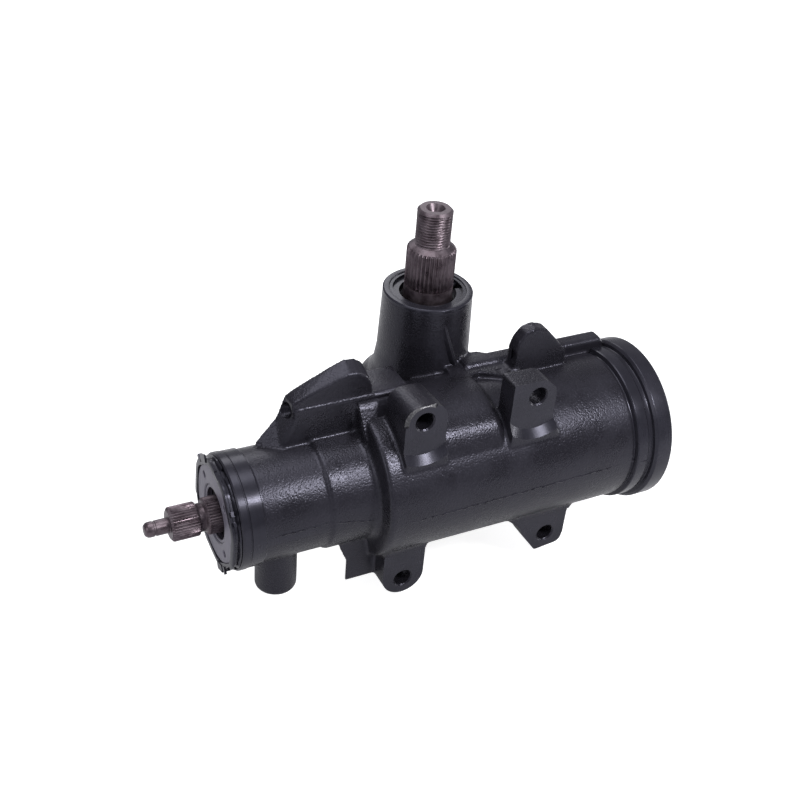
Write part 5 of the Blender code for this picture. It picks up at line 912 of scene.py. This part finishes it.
    def parting_line(self) -> Piece:
        """The ragged flash along the joint of the mould, on the barrel and the valve housing."""
        form = Form()
        for start, end, radius, low, high in (
            (self.front_x + 1.0, 105.5, self.barrel, -0.6, 2.0),
            (107.6, 114.6, self.first_band, 2.0, 2.2),
            (-139.5, self.sleeve_x - 1.0, self.valve, 1.9, 2.2),
            (self.sleeve_x + 0.5, -71.5, self.sleeve, 2.6, -3.6),
        ):
            self.flash(form, start, end, radius - FLASH_SINK, low, high)
        return form.finish("housing_parting_line")

    @staticmethod
    def flash(form: Form, start: float, end: float, radius: float, low: float, high: float) -> None:
        """Adds one stretch of flash: a low ridge whose height and width wander.

        Args:
            form: The form to add it to.
            start: Where it starts along X.
            end: Where it ends along X.
            radius: The radius of the surface that it lies on.
            low: Its height over the worm axis at the start.
            high: Its height over the worm axis at the end.
        """
        count = int((end - start) / FLASH_STEP)
        loops = []
        for step in range(count + 1):
            share = step / count
            x = start + (end - start) * share
            tall = max(0.12, 0.42 + waves(x, FLASH_HEIGHT))
            tall *= min(1.0, 6.0 * share + 0.1, 6.0 * (1.0 - share) + 0.1)
            z = low + (high - low) * share + waves(x, FLASH_WANDER)
            wide = 0.75 + waves(x, FLASH_WIDTH)
            base = math.sqrt(radius * radius - z * z)
            section = [
                (-base + 1.0, z - wide), (-base - 0.05, z - wide), (-base - tall, z),
                (-base - 0.05, z + wide), (-base + 1.0, z + wide),
            ]
            loops.append([form.shape.verts.new((x, y, up)) for y, up in section])
        form.skin(loops)


# ---------------------------------------------------------------------- shafts


@dataclass
class PitmanShaft:
    """The output shaft: sector gear, journals, serrations and a real thread."""

    journal: float = 15.8
    serration: float = 15.5
    serration_top: float = 122.2
    thread: float = 11.11
    pitch: float = 1.81
    thread_depth: float = 0.95
    thread_steps: int = 8
    top: float = 148.0
    bottom: float = -64.6
    serration_length: float = 25.5
    serration_count: int = 36
    serration_depth: float = 1.15
    pitch_radius: float = 26.0
    module: float = 3.25
    pressure_angle: float = 25.0
    backlash: float = 0.6
    flank_steps: int = 6
    half_face: float = 17.0

    def build(self, steel: Material) -> None:
        """Makes the shaft in one piece."""
        first = self.serration_top - self.serration_length
        cut = teeth(self.serration_count, self.serration_depth, first, self.serration_top)
        profile = [
            (self.bottom, 14.8), (self.bottom + 1.0, self.journal), (82.0, self.journal),
            (first - 0.01, self.serration), (first, self.serration - 0.6), (first + 1.4, self.serration),
            (self.serration_top - 1.1, self.serration), (self.serration_top, self.serration - 1.2),
        ]
        shaft = Form().lathe(Axis.Z, profile, 360, PITMAN, depth=cut).finish("pitman_output_shaft")
        carve(shaft, "UNION", [self.threaded_end(), self.sector()])
        carve(shaft, "DIFFERENCE", [self.centre_drill(), self.pocket()])
        shade(shaft)
        dress(shaft, steel, Body.PITMAN, "shaft_steel", "pitman_shaft")

    def threaded_end(self) -> Form:
        """The neck and the thread, whose crests follow a helix."""
        start, end = self.serration_top + 2.3, self.top - 1.6

        def groove(station: float, angle: float) -> float:
            """Depth of the thread here."""
            if not start <= station <= end:
                return 0.0
            phase = ((station - start) / self.pitch - angle / (2 * math.pi)) % 1.0
            runout = min(1.0, (station - start) / 0.8, (end - station) / 0.8)
            return self.thread_depth * abs(2 * phase - 1.0) * runout

        steps = int((end - start) / self.pitch * self.thread_steps)
        profile = [(self.serration_top - 3.0, 14.2), (self.serration_top, 14.2)]
        profile += [(start - 0.3, 11.6), (start, self.thread)]
        profile += [(start + (end - start) * (step + 0.5) / steps, self.thread) for step in range(steps)]
        profile += [(end, self.thread), (self.top, self.thread - 1.6)]
        return Form().lathe(Axis.Z, profile, 72, PITMAN, depth=groove)

    def sector(self) -> Form:
        """The sector gear, seen from above."""
        base = self.pitch_radius * math.cos(math.radians(self.pressure_angle))
        root, tip = self.pitch_radius - 1.15 * self.module, self.pitch_radius + 0.9 * self.module

        def involute(radius: float) -> float:
            """Turn of an involute at a radius."""
            ratio = max(radius / base, 1.0)
            return math.sqrt(ratio * ratio - 1.0) - math.acos(1.0 / ratio)

        thickness = math.pi * self.module / 2 - self.backlash
        half = thickness / 2 / self.pitch_radius + involute(self.pitch_radius)
        radii = [base + (tip - base) * step / self.flank_steps for step in range(self.flank_steps + 1)]
        flank = [(root, half)] + [(radius, half - involute(radius)) for radius in radii]
        outline: list[Point2] = []
        for tooth in range(-2, 3):
            middle = -math.pi / 2 + tooth * math.pi / 8
            outline += [(r * math.cos(middle - w), r * math.sin(middle - w)) for r, w in flank]
            outline += [(r * math.cos(middle + w), r * math.sin(middle + w)) for r, w in reversed(flank)]
        outline += arc((0.0, 0.0), root, -27.75, 207.75, 36)
        return Form().prism(Axis.Z, outline, -self.half_face, self.half_face, PITMAN)

    def centre_drill(self) -> Form:
        """The lathe centre in the shaft's end, broken out a little wider at the mouth."""
        top = self.top
        return Form().lathe(Axis.Z, [
            (top - 6.5, 1.2), (top - 5.0, 2.6), (top - 2.0, 4.6), (top - 0.8, 5.4), (top + 1.0, 6.6)
        ], 40, PITMAN)

    def pocket(self) -> Form:
        """The pocket for the lash adjuster's head."""
        return Form().lathe(Axis.Z, [(self.bottom - 2.0, 7.3), (self.bottom + 6.2, 7.3)], 40, PITMAN)


@dataclass
class InputShaft:
    """The stub shaft with its pilot, its two serrated stretches and its bore."""

    tip: float = -202.7
    pilot: float = 4.67
    serration_front: float = -188.3
    serration_end: float = -171.2
    serration: float = 10.35
    serration_count: int = 36
    serration_depth: float = 0.80
    neck: float = 8.6
    hub: float = 11.2
    hub_count: int = 40
    hub_depth: float = 0.60
    journal: float = 12.0
    bore: float = 4.3

    def build(self, steel: Material) -> None:
        """Makes the shaft."""
        front, end = self.serration_front, self.serration_end
        outer = teeth(self.serration_count, self.serration_depth, front + 1.0, end - 0.6)
        inner = teeth(self.hub_count, self.hub_depth, end + 4.4, end + 14.4)

        def depth(station: float, angle: float) -> float:
            """Depth of either stretch of serrations."""
            return outer(station, angle) + inner(station, angle)

        profile = [
            (self.tip, 2.8), (self.tip + 0.2, 3.3), (self.tip + 1.5, 4.4), (self.tip + 2.6, self.pilot),
            (self.tip + 5.2, self.pilot), (self.tip + 5.5, 4.3), (self.tip + 6.3, 4.3),
            (self.tip + 6.6, self.pilot), (front - 0.3, self.pilot), (front, self.pilot + 0.4), (front, 8.6),
            (front + 1.0, self.serration - 0.3), (front + 1.4, self.serration), (end - 1.2, self.serration),
            (end - 0.6, self.serration - 0.2), (end, self.neck + 0.2), (end + 0.6, self.neck),
            (end + 3.4, self.neck), (end + 3.9, 9.2), (end + 4.4, 10.5), (end + 5.0, self.hub),
            (end + 14.0, self.hub), (end + 14.4, 11.3), (end + 15.4, self.journal), (-133.1, self.journal),
            (-133.1, 10.0), (-87.8, 10.0),
        ]
        shaft = Form().lathe(Axis.X, profile, 360, depth=depth).finish("input_shaft")
        bore = Form().lathe(Axis.X, [(-182.3, self.bore), (-86.0, self.bore)], 32)
        pin = Form().lathe(Axis.Z, [(-14.0, 2.1), (14.0, 2.1)], 24, (-142.0, 0.0, 0.0))
        carve(shaft, "DIFFERENCE", [bore, pin])
        shade(shaft)
        dress(shaft, steel, Body.INPUT, "shaft_steel", "stub_shaft")


# ---------------------------------------------------------------------- ends


# Sections of the seals and of the dished keeper: station, radius and rounding.
DUST_SEAL = (
    (-155.7, 17.7, 0.2), (-155.7, 14.6, 0.3), (-154.9, 13.4, 0.3), (-155.5, 12.3, 0.1), (-153.4, 12.3, 0.1),
    (-153.4, 17.7, 0.1),
)
SEAL_DISH = (
    (-156.1, 17.6, 0.2), (-159.9, 17.9, 0.5), (-160.1, 16.3, 0.4), (-159.3, 15.7, 0.3), (-159.0, 16.3, 0.2),
    (-159.2, 17.1, 0.2), (-156.1, 16.8, 0.2),
)
LIP_SEAL = (
    (82.3, 22.0, 0), (82.3, 16.1, 0.2), (85.6, 16.1, 0.2), (86.4, 17.4, 0.3), (85.6, 18.8, 0.4),
    (86.5, 20.2, 0.4), (86.7, 22.0, 0.2),
)


def soft_ring(name: str, axis: Axis, section: Corners, segments: int, at: Point3) -> Piece:
    """A turned ring whose section has rounded corners."""
    return Form().lathe(axis, rounded(section, 3), segments, at, ring=True).finish(name)


@dataclass
class AdjusterEnd:
    """The adjuster plug in the valve housing's mouth, its lock ring and the seal in it."""

    face: float = -160.7
    outer: float = 30.3
    thread: float = 29.3
    mouth: float = 18.0
    ring_front: float = -161.2
    ring_back: float = -155.8
    ring: float = 35.1
    flat: float = 33.3
    notches: tuple[float, ...] = (100.0, 220.0, 340.0)
    tabs: tuple[tuple[float, float, float, float], ...] = (
        (62.0, 9.0, -161.9, -160.7), (46.0, 3.0, -161.7, -159.6), (252.0, 8.0, -161.6, -156.2),
        (143.0, 2.6, -160.4, -158.6), (153.0, 2.0, -159.8, -158.2), (236.0, 2.4, -161.8, -160.6),
    )

    def build(self, coat: Material, paint: Material, rubber: Material,
              steel: Material) -> None:
        """Makes the plug, the ring, the dust seal and its keeper."""
        dress(self.plug(), coat, Body.HOUSING, "plug_paint", "adjuster_plug")
        dress(self.lock_ring(), paint, Body.HOUSING, "casting_paint", "adjuster_lock_ring")
        seal = soft_ring("input_dust_seal", Axis.X, DUST_SEAL, 96, ORIGIN)
        dress(seal, rubber, Body.HOUSING, "seal_rubber", "stub_dust_seal")
        keeper = open_ring("input_seal_keeper", Axis.X, -157.7, -156.1, 17.7, 18.7, 16.0, ORIGIN)
        dress(keeper, steel, Body.HOUSING, "ground_steel", "stub_seal_retaining_ring")
        dish = soft_ring("input_seal_dish", Axis.X, SEAL_DISH, 112, ORIGIN)
        dress(dish, coat, Body.HOUSING, "ground_steel", "stub_seal_retaining_ring")

    def plug(self) -> Piece:
        """The plug, with a rounded rim, spanner holes and a turned recess."""
        face = self.face
        section = rounded([
            (face, self.mouth + 0.7, 0), (face, self.outer - 1.6, 0), (face + 0.5, self.outer, 0.5),
            (-155.8, self.outer, 0), (-155.8, self.thread, 0), (-138.8, self.thread, 0), (-138.8, 27.1, 0),
            (-136.0, 27.1, 0), (-136.0, self.thread, 0), (-134.3, self.thread, 0), (-134.3, 14.6, 0),
            (-150.0, 14.6, 0), (-150.0, self.mouth, 0), (-155.8, self.mouth, 0), (-155.8, 19.0, 0),
            (-158.0, 19.0, 0), (-158.0, self.mouth, 0), (face + 0.7, self.mouth, 0),
        ], 3)
        plug = Form().lathe(Axis.X, section, 144, ring=True).finish("adjuster_end_plug")
        middle = (self.mouth + self.outer) / 2
        holes = []
        for quarter in range(4):
            turn = math.radians(45 + 90 * quarter)
            place = (0.0, middle * math.cos(turn), middle * math.sin(turn))
            profile = [(face - 2, 2.6), (face, 2.6), (face + 0.5, 2.2), (face + 4, 2.2)]
            holes.append(Form().lathe(Axis.X, profile, 28, place))
        carve(plug, "DIFFERENCE", holes)
        shade(plug)
        return plug

    def flats(self, station: float, angle: float) -> float:
        """How far the flats of the ring's rim lie below its corners."""
        if station >= self.ring_back - 0.6:
            return 0.0
        turn = (math.degrees(angle) - 8.0 + 22.5) % 45.0 - 22.5
        return max(0.0, self.ring - self.flat / math.cos(math.radians(turn))) * 0.8

    def tab(self, degrees: float, wide: float, start: float, end: float) -> Form:
        """A tab that is bent up from the ring's rim.

        Args:
            degrees: Its place round the axis, from +Y towards +Z.
            wide: Its width.
            start: Where it starts on the axis.
            end: Where it ends.

        Returns:
            Its closed form.
        """
        turn = Matrix.Rotation(math.radians(degrees), 2)
        corners = [(31.8, -wide / 2), (36.3, -wide / 2 - 0.4), (36.6, wide / 2), (31.8, wide / 2 + 0.3)]
        return Form().prism(Axis.X, [tuple(turn @ Vector(corner)) for corner in corners], start, end)

    def lock_ring(self) -> Piece:
        """The notched ring, with flats, a rolled channel and bent tabs round its rim."""
        front, back = self.ring_front, self.ring_back
        ring = Form().lathe(Axis.X, [
            (front, 31.2), (front, 34.2), (front + 0.5, self.ring), (front + 1.6, self.ring),
            (front + 2.2, 34.0), (front + 3.6, 33.8), (front + 4.2, self.ring), (back - 0.3, self.ring),
            (back, self.ring - 0.5), (back, 30.9), (front + 1.2, 30.9),
        ], 160, ring=True, depth=self.flats).finish("adjuster_locking_ring")
        carve(ring, "UNION", [self.tab(*values) for values in self.tabs])
        cuts = []
        notch = ((32.6, -3.5), (37.0, -3.5), (37.0, 3.5), (32.6, 3.5))
        for degrees in self.notches:
            turn = Matrix.Rotation(math.radians(degrees), 2)
            corners = [tuple(turn @ Vector(point)) for point in notch]
            cuts.append(Form().prism(Axis.X, corners, front - 2, back + 2))
        carve(ring, "DIFFERENCE", cuts)
        shade(ring)
        return ring


def open_ring(name: str, axis: Axis, start: float, end: float, inner: float, outer: float, opening: float,
              at: Point3) -> Piece:
    """A retaining ring with a gap.

    Args:
        name: The piece's name.
        axis: The axis it lies about.
        start: Where it starts on the axis.
        end: Where it ends.
        inner: Inside radius.
        outer: Outside radius.
        opening: Degrees that the gap takes.
        at: The place of its axis.

    Returns:
        The piece.
    """
    half = opening / 2
    outline = arc((0.0, 0.0), outer, half, 360 - half, RING_STEPS)
    outline += arc((0.0, 0.0), inner, 360 - half, half, RING_STEPS)
    return Form().prism(axis, outline, start, end, at).finish(name)


@dataclass
class EndCap:
    """The plug in the barrel's open end and the ring that keeps it there."""

    start: float = 113.0
    back: float = 126.5
    outer: float = 42.0
    dish: float = 28.0

    def build(self, coat: Material, steel: Material) -> None:
        """Makes the plug and its ring."""
        section = rounded([
            (self.start, self.outer - 1.0, 0), (self.start + 1.0, self.outer, 0.4), (118.0, self.outer, 0),
            (118.0, 39.0, 0), (121.6, 39.0, 0), (121.6, self.outer, 0), (self.back, self.outer, 0.5),
            (self.back, 35.0, 0.3), (self.back - 1.2, 33.6, 0.6), (self.back - 1.2, self.dish + 2.0, 0.6),
            (self.back, self.dish, 0.5), (self.back - 6.0, self.dish - 3.0, 1.5), (self.back - 6.0, 9.0, 0.5),
            (self.back - 3.0, 8.0, 0.6),
        ], 4, closed=False)
        plug = Form().lathe(Axis.X, section, 144).finish("barrel_end_plug")
        dress(plug, coat, Body.HOUSING, "plug_paint", "end_plug")
        start, end = self.back + 0.3, self.back + 2.1
        wire = open_ring("barrel_end_ring", Axis.X, start, end, 40.0, 44.0, 12.0, ORIGIN)
        dress(wire, steel, Body.HOUSING, "ground_steel", "end_plug_retaining_ring")


@dataclass
class CoverSide:
    """The side cover under the sector chamber, its bolts, and the lash adjuster."""

    top: float = -50.4
    thick: float = 9.0
    hub: float = 26.0
    hub_height: float = 10.0
    outer: float = 49.8
    ear: float = 9.7
    shank: float = 4.8
    bolt_flats: float = 7.1
    screw_end: float = -77.5
    socket_flats: float = 2.5
    nut_flats: float = 8.0

    def build(self, housing: Housing, paint: Material, zinc: Material) -> None:
        """Makes the cover, four bolts, the adjuster screw and its nut."""
        low = self.top - self.thick
        floor = low - self.hub_height
        places = housing.bolt_places()
        cover = Form().lathe(Axis.Z, rounded([
            (floor, 8.0, 0), (floor, self.hub - 1.0, 1.5), (low - 1.0, self.hub + 1.2, 2.5),
            (low, self.outer - 1.0, 1.5), (low + 2.0, self.outer, 0.8), (self.top, self.outer, 0),
        ], 5, closed=False), 128, PITMAN).finish("sector_side_cover")
        ear = [(low, self.ear - 1.0), (low + 1.0, self.ear), (self.top, self.ear)]
        carve(cover, "UNION", [Form().lathe(Axis.Z, ear, 48, place) for place in places])
        bore = Form().lathe(Axis.Z, [
            (floor - 2.0, 5.1), (floor + 4.5, 5.1), (floor + 4.5, 19.4), (self.top + 2.0, 19.4)
        ], 72, PITMAN)
        clearance = [(low - 2.0, BOLT_CLEARANCE), (self.top + 2.0, BOLT_CLEARANCE)]
        holes = [Form().lathe(Axis.Z, clearance, 32, place) for place in places]
        carve(cover, "DIFFERENCE", [bore, *holes])
        shade(cover)
        dress(cover, paint, Body.HOUSING, "casting_paint", "side_cover")
        for index, place in enumerate(places, 1):
            bolt = self.bolt(f"cover_bolt_{index}", low - 0.3, place)
            dress(bolt, zinc, Body.HOUSING, "fastener_steel", f"side_cover_bolt_{index}")
        self.adjuster(floor, zinc)

    def bolt(self, name: str, seat: float, place: Point3) -> Piece:
        """A flanged hexagon bolt with a chamfered, dished head."""
        bolt = Form().lathe(Axis.Z, [
            (seat - 3.0, self.shank), (seat - 1.4, 6.0), (seat - 1.1, 8.6), (seat - 0.2, 8.8),
            (seat, 8.5), (seat, self.shank), (-34.0, self.shank), (-33.0, self.shank - 1.0),
        ], 48, place).finish(name)
        head = Form().prism(Axis.Z, hexagon(self.bolt_flats), seat - 7.4, seat - 1.2, place)
        carve(bolt, "UNION", [head])
        crown = Form().lathe(Axis.Z, [
            (seat - 9.0, 12.0), (seat - 5.9, 12.0), (seat - 5.9, 8.3), (seat - 7.5, 6.6), (seat - 9.0, 6.6)
        ], 48, place, ring=True)
        dish = Form().lathe(Axis.Z, [(seat - 9.0, 5.0), (seat - 7.4, 4.6), (seat - 6.9, 4.2)], 32, place)
        carve(bolt, "DIFFERENCE", [crown, dish])
        shade(bolt)
        return bolt

    def adjuster(self, floor: float, zinc: Material) -> None:
        """The lash adjuster screw with its socket, and its lock nut."""
        end = self.screw_end
        screw = Form().lathe(Axis.Z, [
            (end, 3.8), (end + 1.0, 4.8), (-64.3, 4.8), (-64.3, 7.0), (-59.3, 7.0)
        ], 48, PITMAN).finish("lash_screw")
        socket = Form().prism(Axis.Z, hexagon(self.socket_flats), end - 2, end + 4, PITMAN)
        carve(screw, "DIFFERENCE", [socket])
        shade(screw)
        dress(screw, zinc, Body.HOUSING, "fastener_steel", "lash_adjuster_screw")
        nut = Form().prism(Axis.Z, hexagon(self.nut_flats), floor - 5.3, floor - 0.3, PITMAN)
        nut = nut.finish("lash_lock_nut")
        bevel = Form().lathe(Axis.Z, [
            (floor - 7.0, 12.0), (floor - 4.2, 12.0), (floor - 4.2, 9.1), (floor - 5.5, 7.3),
            (floor - 7.0, 7.3),
        ], 48, PITMAN, ring=True)
        hole = Form().lathe(Axis.Z, [(floor - 8.0, 5.1), (floor + 2.0, 5.1)], 40, PITMAN)
        carve(nut, "DIFFERENCE", [bevel, hole])
        shade(nut)
        dress(nut, zinc, Body.HOUSING, "fastener_steel", "lash_adjuster_lock_nut")


@dataclass
class BossMouth:
    """The outer seal and its retaining ring in the pitman boss."""

    def build(self, rubber: Material, steel: Material) -> None:
        """Makes the lip seal and the ring."""
        seal = soft_ring("pitman_lip_seal", Axis.Z, LIP_SEAL, 112, PITMAN)
        dress(seal, rubber, Body.HOUSING, "seal_rubber", "pitman_outer_seal")
        ring = open_ring("pitman_ring_keeper", Axis.Z, 88.8, 90.4, 18.2, 23.0, 16.0, PITMAN)
        dress(ring, steel, Body.HOUSING, "casting_paint", "pitman_retaining_ring")


@dataclass
class Internals:
    """Finishes, by slot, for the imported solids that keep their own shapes."""

    finishes: dict[str, Material]

    def build(self, frame: dict[str, Any]) -> None:
        """Gives every carried-over solid the finish of its slot."""
        for part in frame["record"]["subparts"]:
            solid = frame["nodes"][part["node"]]
            for slot in solid.material_slots:
                slot.material = self.finishes[part["material_slot"]]
            LOG.info("%s: solid finished as %s", part["node"], part["material_slot"])


# ---------------------------------------------------------------------- studio


@dataclass(frozen=True)
class Lamp:
    """A soft rectangular lamp that faces the gearbox: its direction, distance in metres, size and power."""

    name: str
    toward: Point3
    reach: float
    size: Point2
    watts: float

    def build(self) -> None:
        """Adds the lamp."""
        data = bpy.data.lights.new(self.name, "AREA")
        data.shape = "RECTANGLE"
        data.size, data.size_y = self.size
        data.energy = self.watts
        made = bpy.data.objects.new(self.name, data)
        bpy.context.scene.collection.objects.link(made)
        direction = Vector(self.toward).normalized()
        made.location = PLACE + LAMP_AIM + direction * self.reach
        made.rotation_euler = direction.to_track_quat("Z", "Y").to_euler()


LAMPS = (
    Lamp("key", (0.31, -0.62, 0.71), 1.10, (0.30, 0.16), 10.0),
    Lamp("fill", (-0.85, -0.25, 0.45), 1.20, (0.60, 0.80), 3.3),
    Lamp("side", (1.00, -0.08, 0.12), 1.10, (0.40, 0.30), 4.0),
    Lamp("rim", (0.10, 0.80, 0.55), 1.20, (0.90, 0.40), 3.0),
    Lamp("top", (-0.10, 0.10, 1.0), 1.30, (0.90, 0.90), 9.5),
)


@dataclass
class Studio:
    """White floor and soft lights, with the camera at the photograph's viewpoint."""

    azimuth: float = -29.8437
    elevation: float = 35.4570
    roll: float = 5.6393
    distance: float = 748.0
    focal: float = 1218.96
    centre: Point2 = (417.02, 420.98)
    target: Point3 = (-30.27, 0.0, 34.77)
    frame: float = 800.0
    sensor: float = 36.0
    floor_radius: float = 4000.0
    floor_top: float = -77.6
    floor_depth: float = 2.0
    floor_tone: Colour = (0.54, 0.54, 0.55)
    floor_roughness: float = 0.9
    floor_lift: float = 0.875
    glossy_share: float = 0.12
    sky_tone: Colour = (0.34, 0.34, 0.37)

    def axes(self) -> tuple[Vector, Vector, Vector]:
        """Right, up and back directions of the camera."""
        turn, lift, roll = map(math.radians, (self.azimuth, self.elevation, self.roll))
        back = Vector((math.sin(turn) * math.cos(lift), -math.cos(turn) * math.cos(lift), math.sin(lift)))
        level = Vector((math.cos(turn), math.sin(turn), 0.0))
        up = back.cross(level)
        right = level * math.cos(roll) + up * math.sin(roll)
        return right, up * math.cos(roll) - level * math.sin(roll), back

    def camera(self) -> None:
        """Places the camera."""
        right, up, back = self.axes()
        data = bpy.data.cameras.new("camera")
        data.sensor_width = self.sensor
        data.lens = self.sensor * self.focal / self.frame
        data.shift_x = -(self.centre[0] - self.frame / 2) / self.frame
        data.shift_y = (self.centre[1] - self.frame / 2) / self.frame
        data.clip_start = 0.01
        made = bpy.data.objects.new("camera", data)
        bpy.context.scene.collection.objects.link(made)
        spin = Matrix((right, up, back)).transposed().to_4x4()
        place = PLACE + (Vector(self.target) + back * self.distance) * MM
        made.matrix_world = Matrix.Translation(place) @ spin
        bpy.context.scene.camera = made

    def floor(self) -> None:
        """A wide pale floor that the camera sees as white, with the object's shadow kept."""
        low = self.floor_top - self.floor_depth
        disc = arc((0.0, 0.0), self.floor_radius, 0, 350, 35)
        floor = Form().prism(Axis.Z, disc, low, self.floor_top).finish("floor")
        graph = Graph("floor_white")
        graph.feed("Base Color", (*self.floor_tone, 1.0))
        graph.feed("Roughness", self.floor_roughness)
        floor.data.materials.append(graph.material)
        self.lift_for_camera(graph)

    def lift_for_camera(self, graph: Graph) -> None:
        """Adds white for the rays of the camera and of clear parts, and a little for reflections."""
        camera, glossy, clear = (
            graph.node("ShaderNodeLightPath", {}, {}, f"Is {kind} Ray")
            for kind in ("Camera", "Glossy", "Transmission")
        )
        seen = (camera + glossy * self.glossy_share + clear).clamped()
        graph.feed("Emission Strength", self.floor_lift)
        graph.feed("Emission Color", graph.blend(seen, (0.0, 0.0, 0.0), (1.0, 1.0, 1.0)))

    def world(self) -> None:
        """White sky for the camera and a soft grey one for the light."""
        made = bpy.data.worlds.new("sky")
        made.use_nodes = True
        tree = made.node_tree
        background = tree.nodes["Background"]
        ray = tree.nodes.new("ShaderNodeLightPath")
        either = tree.nodes.new("ShaderNodeMath")
        either.operation = "MAXIMUM"
        tree.links.new(ray.outputs["Is Camera Ray"], either.inputs[0])
        tree.links.new(ray.outputs["Is Transmission Ray"], either.inputs[1])
        mix = tree.nodes.new("ShaderNodeMix")
        mix.data_type = "RGBA"
        mix.inputs[MIX_FIRST].default_value = (*self.sky_tone, 1.0)
        mix.inputs[MIX_SECOND].default_value = (1.0, 1.0, 1.0, 1.0)
        tree.links.new(either.outputs[0], mix.inputs[0])
        tree.links.new(mix.outputs[MIX_COLOUR], background.inputs["Color"])
        bpy.context.scene.world = made

    def build(self) -> None:
        """Sets up the whole studio."""
        bpy.context.scene.view_settings.view_transform = "Standard"
        self.world()
        self.floor()
        for lamp in LAMPS:
            lamp.build()
        self.camera()


def main() -> None:
    """Builds every piece in order."""
    logging.basicConfig(level=logging.INFO, format="%(name)s: %(message)s")
    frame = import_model()
    looks = {slot: finish.build() for slot, finish in FINISHES.items()}
    paint, machined, coat = looks["casting_paint"], looks["machined_paint"], looks["plug_paint"]
    shaft, ground, rubber = looks["shaft_steel"], looks["ground_steel"], looks["seal_rubber"]
    Studio().build()
    Internals(looks).build(frame)
    housing = Housing()
    housing.build(paint, machined, looks["worn_highlight_edge"])
    PitmanShaft().build(shaft)
    InputShaft().build(shaft)
    AdjusterEnd().build(coat, machined, rubber, ground)
    EndCap().build(coat, ground)
    CoverSide().build(housing, paint, looks["fastener_steel"])
    BossMouth().build(rubber, machined)


if __name__ == "__main__":
    main()
